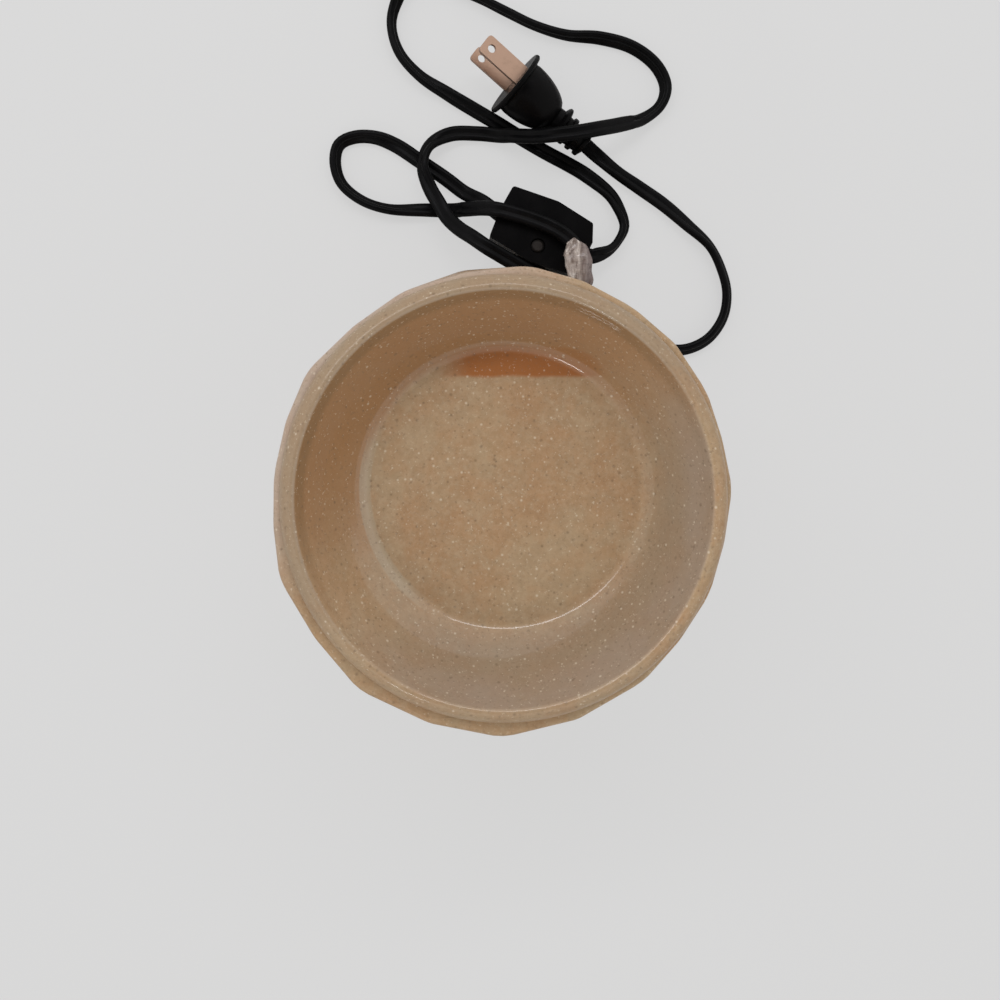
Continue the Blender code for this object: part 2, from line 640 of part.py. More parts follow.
def facet_rings(shape):
    """Rings of corners, every second one turned by half a facet, joined into triangles."""
    ahead = (*FACET_TURNS[1:], FACET_TURNS[0] + 360)
    between = [(a + b) / 2 for a, b in zip(FACET_TURNS, ahead)]
    rings, top = [], []
    for row in range(FACET_ROWS + 1):
        height = POT_LIFT + (POT_TOP - POT_LIFT) * row / FACET_ROWS
        turns, reach = FACET_TURNS, FACET_REACH
        if (FACET_ROWS - row) % 2:
            turns, reach = between, FACET_REACH_BETWEEN
        ease = 1.0 if row == FACET_ROWS or turns is between else FACET_EASE
        rings.append([
            shape.verts.new(polar(pot_radius(height) * (1 + (share - 1) * ease), turn, height))
            for turn, share in zip(turns, reach)])
    for row, (low, high) in enumerate(zip(rings, rings[1:])):
        for k in range(len(low)):
            n = (k + 1) % len(low)
            if row == FACET_ROWS - 1:
                middle = shape.verts.new(
                    polar(POT_MOUTH_RADIUS * FACET_REACH_TOP[k], between[k], POT_TOP))
                top += [high[k], middle]
                shape.faces.new((low[k], middle, high[k]))
                shape.faces.new((low[k], high[n], middle))
                shape.faces.new((low[k], low[n], high[n]))
            elif (FACET_ROWS - row) % 2:
                shape.faces.new((low[k], high[n], high[k]))
                shape.faces.new((low[k], low[n], high[n]))
            else:
                shape.faces.new((low[k], low[n], high[k]))
                shape.faces.new((low[n], high[n], high[k]))
    shape.faces.new(rings[0])
    shape.faces.new(top)
    bmesh.ops.recalc_face_normals(shape, faces=shape.faces)


def ledge_height():
    return PLATE_LOW + PLATE_THICK + SEAT


def radial_frame(angle, height):
    """A frame on the pot's axis whose X points outwards at the angle and whose Z is up."""
    return Matrix.Translation((0.0, 0.0, height)) @ Matrix.Rotation(math.radians(angle), 4, "Z")


LYING = Matrix.Rotation(math.pi / 2, 4, "Y")  # turns a piece made about Z to lie along X


def make_pot():
    mesh = bpy.data.meshes.new("body_shell")
    shape = bmesh.new()
    facet_rings(shape)
    shape.to_mesh(mesh)
    shape.free()
    pot = settle(bpy.data.objects.new("body_shell", mesh), "body_shell", "glazed_ceramic",
                 smooth=None)
    opening = DISH_NECK_RADIUS + DISH_PLAY
    plate_opening = PLATE_RADIUS + PLATE_PLAY
    ledge = ledge_height()
    low, high = ledge + LEDGE_THICK * 2, POT_TOP - POT_NECK * 1.6
    levels = [high + (low - high) * k / 7 for k in range(8)]
    cavity = turned("pot_cavity", [
        (0.0, POT_TOP + THROUGH), (opening, POT_TOP + THROUGH), (opening, POT_TOP - POT_NECK),
        *((pot_inside(z), z) for z in levels),
        (plate_opening - LEDGE_WIDTH, ledge + LEDGE_THICK), (plate_opening - LEDGE_WIDTH, ledge),
        (plate_opening, ledge), (plate_opening, -THROUGH), (0.0, -THROUGH),
    ], segments=40)
    cut(pot, cavity)
    for side, angle in BOSS_ANGLES.items():
        outline = rounded([
            (BOSS_AT - BOSS_RADIUS, -BOSS_RADIUS, BOSS_RADIUS * 0.95),
            (pot_inside(ledge + BOSS_HEIGHT) - POT_WALL * 0.5, -BOSS_RADIUS, 0.0),
            (pot_inside(ledge + BOSS_HEIGHT) - POT_WALL * 0.5, BOSS_RADIUS, 0.0),
            (BOSS_AT - BOSS_RADIUS, BOSS_RADIUS, BOSS_RADIUS * 0.95),
        ], steps=5)
        outline = [(min(x, plate_opening - 0.2 * MM), y) for x, y in outline]
        boss = slab(f"boss_{side}", [outline], ledge, ledge + BOSS_HEIGHT,
                    place=Matrix.Rotation(math.radians(angle), 4, "Z"))
        join(pot, boss)
        at = polar(BOSS_AT, angle)
        cut(pot, rod(f"boss_bore_{side}", ANCHOR_RADIUS + SEAT, ledge - THROUGH / 2,
                     ledge + ANCHOR_LENGTH + SEAT, at.x, at.y))
    exit_frame = radial_frame(LEAD_EXIT_ANGLE, LEAD_EXIT_HEIGHT) @ LYING
    inner = BUSHING_SEAT - BUSHING_WALL
    spot = BUSHING_FLANGE_RADIUS + SEAT
    cut(pot,
        rod("exit_hole", BUSHING_RADIUS + SEAT, inner - THROUGH, BUSHING_SEAT + THROUGH,
            place=exit_frame),
        rod("exit_spot_outside", spot, BUSHING_SEAT, BUSHING_SEAT + 3 * THROUGH,
            place=exit_frame),
        rod("exit_spot_inside", spot, inner - 3 * THROUGH, inner, place=exit_frame))


# The dish

def dish_inner(share):
    """A point of the dish's inside, from the edge of its floor to its mouth."""
    rise = DISH_HEIGHT - DISH_LIP_DROP - DISH_FLOOR_HEIGHT
    return (DISH_FLOOR_RADIUS + (DISH_MOUTH_RADIUS - DISH_FLOOR_RADIUS) * share,
            DISH_FLOOR_HEIGHT + rise * (0.5 * share + 0.5 * share ** 3))


def dish_outer(share):
    """The point of the dish's outside that lies a wall away from that inner point."""
    r, z = dish_inner(share)
    rise = DISH_HEIGHT - DISH_LIP_DROP - DISH_FLOOR_HEIGHT
    across = Vector((rise * (0.5 + 1.5 * share ** 2),
                     -(DISH_MOUTH_RADIUS - DISH_FLOOR_RADIUS))).normalized() * DISH_WALL
    return min(r + across.x, DISH_NECK_RADIUS), z + across.y


def make_dish():
    crest = DISH_HEIGHT
    middle = (DISH_MOUTH_RADIUS + DISH_LIP_RADIUS) / 2
    seat = POT_TOP + SEAT
    floor = [(0.0, DISH_FLOOR_HEIGHT), (DISH_FLOOR_RADIUS - DISH_CORNER, DISH_FLOOR_HEIGHT)]
    r, z = dish_inner(0.18)
    edge = [(DISH_FLOOR_RADIUS - DISH_CORNER * 0.4, DISH_FLOOR_HEIGHT + 0.12 * MM),
            (DISH_FLOOR_RADIUS + DISH_CORNER * 0.25, DISH_FLOOR_HEIGHT + 0.75 * MM), (r, z)]
    wall = [dish_inner(s) for s in (0.4, 0.6, 0.8, 1.0)]
    lip = []
    for k in range(7):
        turn = math.pi * k / 6
        lip.append((middle - (middle - DISH_MOUTH_RADIUS) * math.cos(turn),
                    crest - 2.7 * MM + 2.7 * MM * math.sin(turn)))
    under = [(DISH_LIP_RADIUS, seat + 1.2 * MM), (DISH_LIP_RADIUS - 1.1 * MM, seat),
             (DISH_NECK_RADIUS, seat), (DISH_NECK_RADIUS, seat - 2.5 * MM)]
    outside = [dish_outer(s) for s in (0.7, 0.45, 0.2, 0.0)]
    foot = [(DISH_FLOOR_RADIUS - 1.5 * MM, DISH_FLOOR_HEIGHT - DISH_WALL),
            (0.0, DISH_FLOOR_HEIGHT - DISH_WALL)]
    turned("dish", floor + edge + wall + lip + under + outside + foot, "glazed_ceramic",
           segments=44)


# What closes the pot from below

def skipped(angle, middle, half):
    return abs((angle - middle + 180) % 360 - 180) < half


def make_base_plate():
    holes = []
    for angle in BOSS_ANGLES.values():
        at = polar(BOSS_AT, angle)
        holes.append(circle(SCREW_RADIUS + SEAT, at.x, at.y, 12))
    for angle in FOOT_ANGLES.values():
        at = polar(FOOT_AT, angle)
        holes.append(circle(FOOT_STEM_RADIUS + SEAT, at.x, at.y, 16))
    for side in (-1, 1):
        holes.append(circle(SCREW_RADIUS + SEAT, side * BRACKET_SCREW_AT, 0.0, 12))
    for k in range(VENTS):
        angle = 360 * (k + 0.5) / VENTS
        if any(skipped(angle, middle, VENT_SKIP) for middle in (0.0, 180.0, LEAD_EXIT_ANGLE)):
            continue
        corners = [(VENT_IN, -VENT_WIDTH / 2, VENT_WIDTH * 0.4),
                   (VENT_OUT, -VENT_WIDTH / 2, VENT_WIDTH * 0.4),
                   (VENT_OUT, VENT_WIDTH / 2, VENT_WIDTH * 0.4),
                   (VENT_IN, VENT_WIDTH / 2, VENT_WIDTH * 0.4)]
        turn = Matrix.Rotation(-math.radians(angle), 2)
        holes.append([tuple(Vector(p) @ turn) for p in rounded(corners, steps=1)])
    top = PLATE_LOW + PLATE_THICK
    plate = slab("base_plate", [circle(PLATE_RADIUS, count=48), *holes], PLATE_LOW, top,
                 "black_plastic")
    along = Matrix.Rotation(math.radians(LEAD_EXIT_ANGLE), 4, "Z")
    half = CLAMP_LENGTH / 2
    pad_top = LEAD_EXIT_HEIGHT - LEAD_THICK / 2 - SEAT
    pad = box("clamp_pad", (CLAMP_AT - half, -CLAMP_HALF_WIDTH, top - PLATE_THICK / 2),
              (CLAMP_AT + half, CLAMP_HALF_WIDTH, pad_top), place=along)
    join(plate, pad)
    for side in (-1, 1):
        bore = rod(f"clamp_bore_{side + 2}", SCREW_RADIUS + SEAT, top - PLATE_THICK / 2,
                   pad_top + THROUGH, CLAMP_AT, side * CLAMP_SCREW_AT, segments=8, place=along)
        cut(plate, bore)


def make_clamp():
    """A saddle over the lead, drawn as its end view and made solid along the lead."""
    low = LEAD_EXIT_HEIGHT - LEAD_THICK / 2
    over = LEAD_EXIT_HEIGHT + LEAD_THICK / 2 + SEAT
    channel = LEAD_WIDTH / 2 + SEAT
    shoulder = channel + CLAMP_CROWN
    wide = CLAMP_HALF_WIDTH
    outline = rounded([
        (channel, low, 0.0), (wide, low, 0.0), (wide, low + CLAMP_EAR, 0.8 * MM),
        (shoulder, low + CLAMP_EAR, 0.0), (shoulder, over + CLAMP_CROWN, 1.2 * MM),
        (-shoulder, over + CLAMP_CROWN, 1.2 * MM), (-shoulder, low + CLAMP_EAR, 0.0),
        (-wide, low + CLAMP_EAR, 0.8 * MM), (-wide, low, 0.0), (-channel, low, 0.0),
        (-channel, over, 0.0), (channel, over, 0.0),
    ])
    stand = Matrix(((0, 0, 1, 0), (1, 0, 0, 0), (0, 1, 0, 0), (0, 0, 0, 1)))
    along = Matrix.Rotation(math.radians(LEAD_EXIT_ANGLE), 4, "Z")
    half = CLAMP_LENGTH / 2
    clamp = slab("cord_clamp", [outline], CLAMP_AT - half, CLAMP_AT + half, "black_plastic",
                 place=along @ stand)
    for side in (-1, 1):
        cut(clamp, rod(f"ear_hole_{side + 2}", SCREW_RADIUS + SEAT, low - THROUGH,
                       low + CLAMP_EAR + THROUGH, CLAMP_AT, side * CLAMP_SCREW_AT, segments=8,
                       place=along))
    seat = low + CLAMP_EAR + SEAT
    screw = turned("clamp_screw", screw_profile(
        SCREW_RADIUS, SCREW_HEAD_RADIUS * 0.85, SCREW_HEAD_THICK * 0.8,
        PLATE_LOW + PLATE_THICK / 2 + 2 * SEAT, seat), segments=8)
    copies(("clamp_screw_left", "clamp_screw_right"), screw, [
        along @ Matrix.Translation((CLAMP_AT, side * CLAMP_SCREW_AT, 0.0)) for side in (1, -1)
    ], "steel")


def make_base_fasteners():
    seat = PLATE_LOW - SEAT
    ledge = ledge_height()
    screw = turned("base_screw", screw_profile(
        SCREW_RADIUS, SCREW_HEAD_RADIUS, SCREW_HEAD_THICK, ledge + SCREW_REACH, seat,
        top_head=False), segments=8)
    places = [Matrix.Translation(polar(BOSS_AT, angle)) for angle in BOSS_ANGLES.values()]
    copies([f"base_screw_{side}" for side in BOSS_ANGLES], screw, places, "steel")
    bore = SCREW_RADIUS + SEAT
    deep = ledge + SCREW_REACH + SEAT
    anchor = turned("anchor", [
        (0.0, ledge + ANCHOR_LENGTH), (ANCHOR_RADIUS - 0.5 * MM, ledge + ANCHOR_LENGTH),
        (ANCHOR_RADIUS, ledge + ANCHOR_LENGTH - 1.0 * MM), (ANCHOR_RADIUS, ledge),
        (bore, ledge), (bore, deep), (0.0, deep)], segments=12)
    copies([f"screw_anchor_{side}" for side in BOSS_ANGLES], anchor, places, "nylon")


def make_feet():
    top = PLATE_LOW - SEAT
    over = PLATE_LOW + PLATE_THICK + SEAT
    profile = [
        (0.0, over + FOOT_BARB_LENGTH), (FOOT_STEM_RADIUS * 0.7, over + FOOT_BARB_LENGTH),
        (FOOT_BARB_RADIUS, over), (FOOT_STEM_RADIUS, over), (FOOT_STEM_RADIUS, top),
        (FOOT_RADIUS - 0.3 * MM, top), (FOOT_RADIUS, top - 0.3 * MM), (FOOT_RADIUS, 0.7 * MM),
        (FOOT_RADIUS - 0.7 * MM, 0.0), (0.0, 0.0),
    ]
    for name, angle in FOOT_ANGLES.items():
        turned(name, profile, "rubber", segments=14,
               place=Matrix.Translation(polar(FOOT_AT, angle)))


def lead_bore(name, start, end, place):
    """A cutter for the flat lead, lying along X from start to end."""
    half_wide = LEAD_WIDTH / 2 + SEAT
    half_high = LEAD_THICK / 2 + SEAT
    outline = rounded([(-half_high, -half_wide, 1.2 * MM), (half_high, -half_wide, 1.2 * MM),
                       (half_high, half_wide, 1.2 * MM), (-half_high, half_wide, 1.2 * MM)])
    return slab(name, [outline], start, end, place=place @ LYING)


def make_bushing():
    """A grommet with a tapered, ribbed tail, turned about the lead and bored for it."""
    inner = BUSHING_SEAT - BUSHING_WALL - SEAT
    outer = BUSHING_SEAT + SEAT
    end = outer + BUSHING_FLANGE_THICK + BUSHING_TAIL
    profile = [(0.0, end), (BUSHING_TAIL_END, end)]
    pitch = BUSHING_TAIL / BUSHING_RIBS
    for k in range(BUSHING_RIBS):
        high = end - pitch * k
        share = (k + 0.5) / BUSHING_RIBS
        radius = BUSHING_TAIL_END + (BUSHING_TAIL_START - BUSHING_TAIL_END) * share
        profile += [(radius, high - pitch * 0.12), (radius, high - pitch * 0.66)]
        if k < BUSHING_RIBS - 1:
            profile += [(BUSHING_TAIL_END, high - pitch * 0.74),
                        (BUSHING_TAIL_END, high - pitch * 0.98)]
    profile += [
        (BUSHING_FLANGE_RADIUS, outer + BUSHING_FLANGE_THICK), (BUSHING_FLANGE_RADIUS, outer),
        (BUSHING_RADIUS, outer), (BUSHING_RADIUS, inner), (BUSHING_SNAP_RADIUS, inner),
        (BUSHING_RADIUS, inner - 2.2 * MM), (0.0, inner - 2.2 * MM),
    ]
    frame = radial_frame(LEAD_EXIT_ANGLE, LEAD_EXIT_HEIGHT)
    bushing = turned("cord_bushing", profile, "rubber", segments=16, place=frame @ LYING)
    cut(bushing, lead_bore("bushing_bore", inner - 2.2 * MM - THROUGH, end + THROUGH, frame))


# The lampholder and what carries it

def make_bracket():
    low = PLATE_LOW + PLATE_THICK + SEAT
    sheet = BRACKET_SHEET
    span, foot = BRACKET_HALF_SPAN, BRACKET_FOOT_END
    bend = 1.4 * MM
    right = [(foot, low, 0.0), (foot, low + sheet, 0.0), (span, low + sheet, 0.0),
             (span, BRACKET_TOP, bend)]
    left = [(-x, z, r) for x, z, r in reversed(right)]
    inside = [(-foot, low, 0.0), (-(span - sheet), low, 0.0),
              (-(span - sheet), BRACKET_TOP - sheet, bend * 0.4),
              (span - sheet, BRACKET_TOP - sheet, bend * 0.4), (span - sheet, low, 0.0)]
    outline = rounded(right + left[:-1] + inside)
    stand = Matrix(((1, 0, 0, 0), (0, 0, -1, 0), (0, 1, 0, 0), (0, 0, 0, 1)))
    bracket = slab("lamp_bracket", [outline], -BRACKET_WIDTH / 2, BRACKET_WIDTH / 2, "steel",
                   place=stand)
    cut(bracket, rod("bracket_lead_hole", BRACKET_HOLE, BRACKET_TOP - sheet - THROUGH,
                     BRACKET_TOP + THROUGH))
    for side in (-1, 1):
        cut(bracket,
            rod(f"bracket_foot_hole_{side + 2}", SCREW_RADIUS + SEAT, low - THROUGH / 2,
                low + sheet + THROUGH, side * BRACKET_SCREW_AT, segments=8),
            rod(f"bracket_top_hole_{side + 2}", HOLDER_SCREW_RADIUS + SEAT,
                BRACKET_TOP - sheet - THROUGH / 2, BRACKET_TOP + THROUGH,
                side * HOLDER_SCREW_AT, segments=8))
    screw = turned("bracket_screw", screw_profile(
        SCREW_RADIUS, SCREW_HEAD_RADIUS, SCREW_HEAD_THICK, low + sheet + NUT_THICK + 2 * SEAT,
        PLATE_LOW - SEAT, top_head=False), segments=8)
    places = [Matrix.Translation((side * BRACKET_SCREW_AT, 0.0, 0.0)) for side in (-1, 1)]
    copies(("bracket_screw_left", "bracket_screw_right"), screw, places, "steel")
    nut = slab("bracket_nut", [circle(NUT_RADIUS, count=6), circle(SCREW_RADIUS + SEAT, count=8)],
               low + sheet + SEAT, low + sheet + SEAT + NUT_THICK, smooth=None,
               place=Matrix.Rotation(math.pi / 2, 4, "Z"))
    copies(("bracket_nut_left", "bracket_nut_right"), nut, places, "steel")


def holder_levels():
    """The heights of the holder's underside, chamber floor, chamber roof and top."""
    low = BRACKET_TOP + SEAT
    high = low + HOLDER_HEIGHT
    return low, low + HOLDER_FLOOR, high - HOLDER_LIP, high


def make_lampholder():
    low, floor, roof, high = holder_levels()
    edge = 0.8 * MM
    holder = turned("lampholder", [
        (0.0, high), (HOLDER_RADIUS - edge, high), (HOLDER_RADIUS, high - edge),
        (HOLDER_RADIUS, low + edge), (HOLDER_RADIUS - edge, low), (0.0, low)],
        "steatite", segments=32)
    pin_arc = PIN_SPACING / 2
    wide = PIN_HEAD_RADIUS + 2 * SEAT
    narrow = PIN_RADIUS + SEAT
    for side, start in enumerate((0.0, 180.0), 1):
        entry = polar(pin_arc, start + BULB_TWIST)
        feed = polar(pin_arc, start + BULB_TWIST / 2)
        cut(holder,
            slab(f"pin_chamber_{side}", [arc_slot(pin_arc, wide, start, start + BULB_TWIST)],
                 floor, roof),
            slab(f"pin_slot_{side}", [arc_slot(pin_arc, narrow, start, start + BULB_TWIST)],
                 roof - THROUGH / 4, high + THROUGH),
            rod(f"pin_entry_{side}", PIN_HEAD_RADIUS + SEAT, roof - THROUGH / 3, high + THROUGH,
                entry.x, entry.y),
            rod(f"core_hole_{side}", CORE_RADIUS + SEAT, low - THROUGH, floor + THROUGH / 4,
                feed.x, feed.y, segments=8))
        at = HOLDER_SCREW_AT * (1 if start == 0.0 else -1)
        sunk = high - HOLDER_SCREW_SUNK
        cut(holder,
            rod(f"holder_bore_{side}", HOLDER_SCREW_RADIUS + SEAT, low - THROUGH, high, at,
                segments=8),
            rod(f"holder_sink_{side}", HOLDER_SCREW_HEAD + SEAT, sunk, high + THROUGH, at,
                segments=16))
    screw = turned("holder_screw", screw_profile(
        HOLDER_SCREW_RADIUS, HOLDER_SCREW_HEAD, HOLDER_SCREW_HEAD_THICK,
        BRACKET_TOP - BRACKET_SHEET - HOLDER_SCREW_PAST, high - HOLDER_SCREW_SUNK + SEAT),
        segments=8)
    copies(("holder_screw_left", "holder_screw_right"), screw, [
        Matrix.Translation((side * HOLDER_SCREW_AT, 0.0, 0.0)) for side in (-1, 1)], "steel")
    plate = slab("holder_contact", [arc_slot(pin_arc, wide - 2 * SEAT, 0.0, BULB_TWIST)],
                 floor + SEAT, floor + SEAT + 1.0 * MM)
    copies(("holder_contact_right", "holder_contact_left"), plate,
           [Matrix.Rotation(turn, 4, "Z") for turn in (0.0, math.pi)], "brass")


def make_lead_cores():
    """The lead's two insulated cores, from its cut end to the lampholder's contacts."""
    low, floor, _, _ = holder_levels()
    along = polar(1.0, LEAD_EXIT_ANGLE)
    across = Vector((-along.y, along.x, 0.0))
    for name, side, start in (("lead_line", -1, 0.0), ("lead_neutral", 1, 180.0)):
        feed = polar(PIN_SPACING / 2, start + BULB_TWIST / 2)
        offset = across * side
        drop = Vector((0, 0, LEAD_EXIT_HEIGHT - BRACKET_TOP + BRACKET_SHEET + CORE_DROP))
        points = [
            along * (LEAD_INNER_END - SEAT) + offset * LEAD_THICK / 2,
            along * (LEAD_INNER_END - 4 * MM) + offset * 1.7 * MM,
            along * 22 * MM + offset * 3.2 * MM - drop * 0.6,
            along * 13 * MM + offset * 4.2 * MM - drop,
            Vector((feed.x, feed.y, 0)) + along * 4 * MM - drop * 0.9,
            Vector((feed.x, feed.y, 0)) - drop * 0.3,
        ]
        points = [p + Vector((0, 0, LEAD_EXIT_HEIGHT)) for p in points]
        points += [Vector((feed.x, feed.y, low)), Vector((feed.x, feed.y, floor))]
        even, _ = smooth_route([Vector((*p, 0.0)) for p in points], 3.2 * MM)
        curve = bpy.data.curves.new(name, "CURVE")
        curve.dimensions = "3D"
        curve.bevel_depth = CORE_RADIUS
        curve.bevel_resolution = 2
        curve.use_fill_caps = True
        line = curve.splines.new("POLY")
        line.points.add(len(even) - 1)
        for point, at in zip(line.points, even):
            point.co = (*at.xyz, 1.0)
        settle(bpy.data.objects.new(name, curve), name, "black_lead")


# The bulb

def make_bulb():
    """The bulb's pieces turn about Z together, in the lampholder's slots."""
    _, _, roof, top = holder_levels()
    low = top + SEAT
    base_top = low + BULB_BASE_HEIGHT
    recess = base_top - BULB_NECK_SUNK
    recess_radius = BULB_NECK_RADIUS + SEAT
    base = turned("bulb_base", [
        (0.0, recess), (recess_radius, recess), (recess_radius, base_top),
        (recess_radius + 1.6 * MM, base_top), (BULB_BASE_RADIUS, base_top - 3.2 * MM),
        (BULB_BASE_RADIUS, low + 0.8 * MM), (BULB_BASE_RADIUS - 0.8 * MM, low), (0.0, low),
    ], "steatite", segments=24)
    for side in (-1, 1):
        cut(base, rod(f"pin_hole_{side + 2}", PIN_RADIUS + SEAT, low - THROUGH,
                      low + PIN_IN_BASE + SEAT, side * PIN_SPACING / 2, segments=16))
    head_top = roof - SEAT
    head_low = head_top - PIN_HEAD_THICK
    pin = turned("bulb_pin", [
        (0.0, low + PIN_IN_BASE), (PIN_RADIUS, low + PIN_IN_BASE), (PIN_RADIUS, head_top),
        (PIN_HEAD_RADIUS, head_top), (PIN_HEAD_RADIUS, head_low + 0.4 * MM),
        (PIN_HEAD_RADIUS - 0.4 * MM, head_low), (0.0, head_low)], segments=16)
    copies(("bulb_pin_left", "bulb_pin_right"), pin, [
        Matrix.Translation((side * PIN_SPACING / 2, 0.0, 0.0)) for side in (-1, 1)], "steel")
    rim = low + BULB_LENGTH
    bowl_low, bowl_high = base_top, rim - BULB_RIM_HEIGHT

    def bowl(height, radius, neck):
        share = max(0.0, (height - bowl_low) / (bowl_high - bowl_low))
        return math.sqrt(neck ** 2 + (radius ** 2 - neck ** 2) * share)

    ledge = BULB_RIM_RADIUS - 2.0 * MM
    rebate = BULB_RIM_RADIUS - 1.0 * MM
    rebate_low = rim - LENS_THICK - SEAT - 0.3 * MM
    neck_inside = BULB_NECK_RADIUS - BULB_GLASS
    levels = [bowl_high + (bowl_low - bowl_high) * (k / 6) ** 0.7 for k in range(7)]
    outside = [(bowl(z, BULB_RIM_RADIUS - 0.6 * MM, BULB_NECK_RADIUS), z) for z in levels]
    inside = [(bowl(z, ledge, neck_inside), z) for z in reversed(levels)]
    inside[-1] = (ledge, rebate_low)
    turned("bulb_reflector", [
        (rebate, rim), (BULB_RIM_RADIUS, rim), (BULB_RIM_RADIUS, bowl_high + 0.5 * MM), *outside,
        (BULB_NECK_RADIUS, recess + SEAT), (neck_inside, recess + SEAT), *inside,
        (rebate, rebate_low)], "reflector", segments=24)
    turned("bulb_lens", [
        (0.0, rim - 0.3 * MM), (rebate - SEAT - 0.3 * MM, rim - 0.3 * MM),
        (rebate - SEAT, rim - 0.6 * MM), (rebate - SEAT, rebate_low + SEAT),
        (0.0, rebate_low + SEAT)], "glass", segments=24)
    cement = neck_inside - SEAT
    foot = recess + SEAT
    tip = foot + CAPSULE_LENGTH
    turned("bulb_capsule", [
        (0.0, tip), (CAPSULE_RADIUS * 0.55, tip - CAPSULE_RADIUS * 0.2),
        (CAPSULE_RADIUS * 0.9, tip - CAPSULE_RADIUS * 0.7), (CAPSULE_RADIUS, tip - CAPSULE_RADIUS),
        (CAPSULE_RADIUS, tip - 15 * MM), (CAPSULE_RADIUS * 0.6, tip - 17.5 * MM),
        (CAPSULE_RADIUS * 0.6, foot + 4 * MM), (cement, foot + 4 * MM), (cement, foot),
        (0.0, foot)], "glass", segments=16)


# The switch

def switch_outline():
    half, end = SWITCH_HALF_WIDTH, SWITCH_END_HALF_WIDTH
    upper = [(SWITCH_RIGHT, SWITCH_NOSE, 0.8 * MM), (SWITCH_RIGHT_CORNER, end, SWITCH_ROUND),
             (0.0, half, SWITCH_ROUND * 6), (-SWITCH_LEFT_CORNER, end, SWITCH_ROUND)]
    lower = [(x, -y, r) for x, y, r in reversed(upper)]
    return rounded(upper + [(-SWITCH_LEFT, 0.0, 0.0)] + lower)


def ribbon(path, thick):
    """The outline of a bent strip whose middle follows path."""
    sides = []
    for direction in (1, -1):
        side = []
        for i, here in enumerate(path):
            here = Vector(here)
            before = (here - Vector(path[i - 1])).normalized() if i else None
            after = (Vector(path[i + 1]) - here).normalized() if i < len(path) - 1 else None
            before = before or after
            after = after or before
            middle = (before + after).normalized()
            normal = Vector((-middle.y, middle.x))
            reach = thick / 2 / max(normal.dot(Vector((-before.y, before.x))), 0.3)
            side.append(tuple(here + normal * reach * direction))
        sides.append(side)
    return sides[0] + sides[1][::-1]


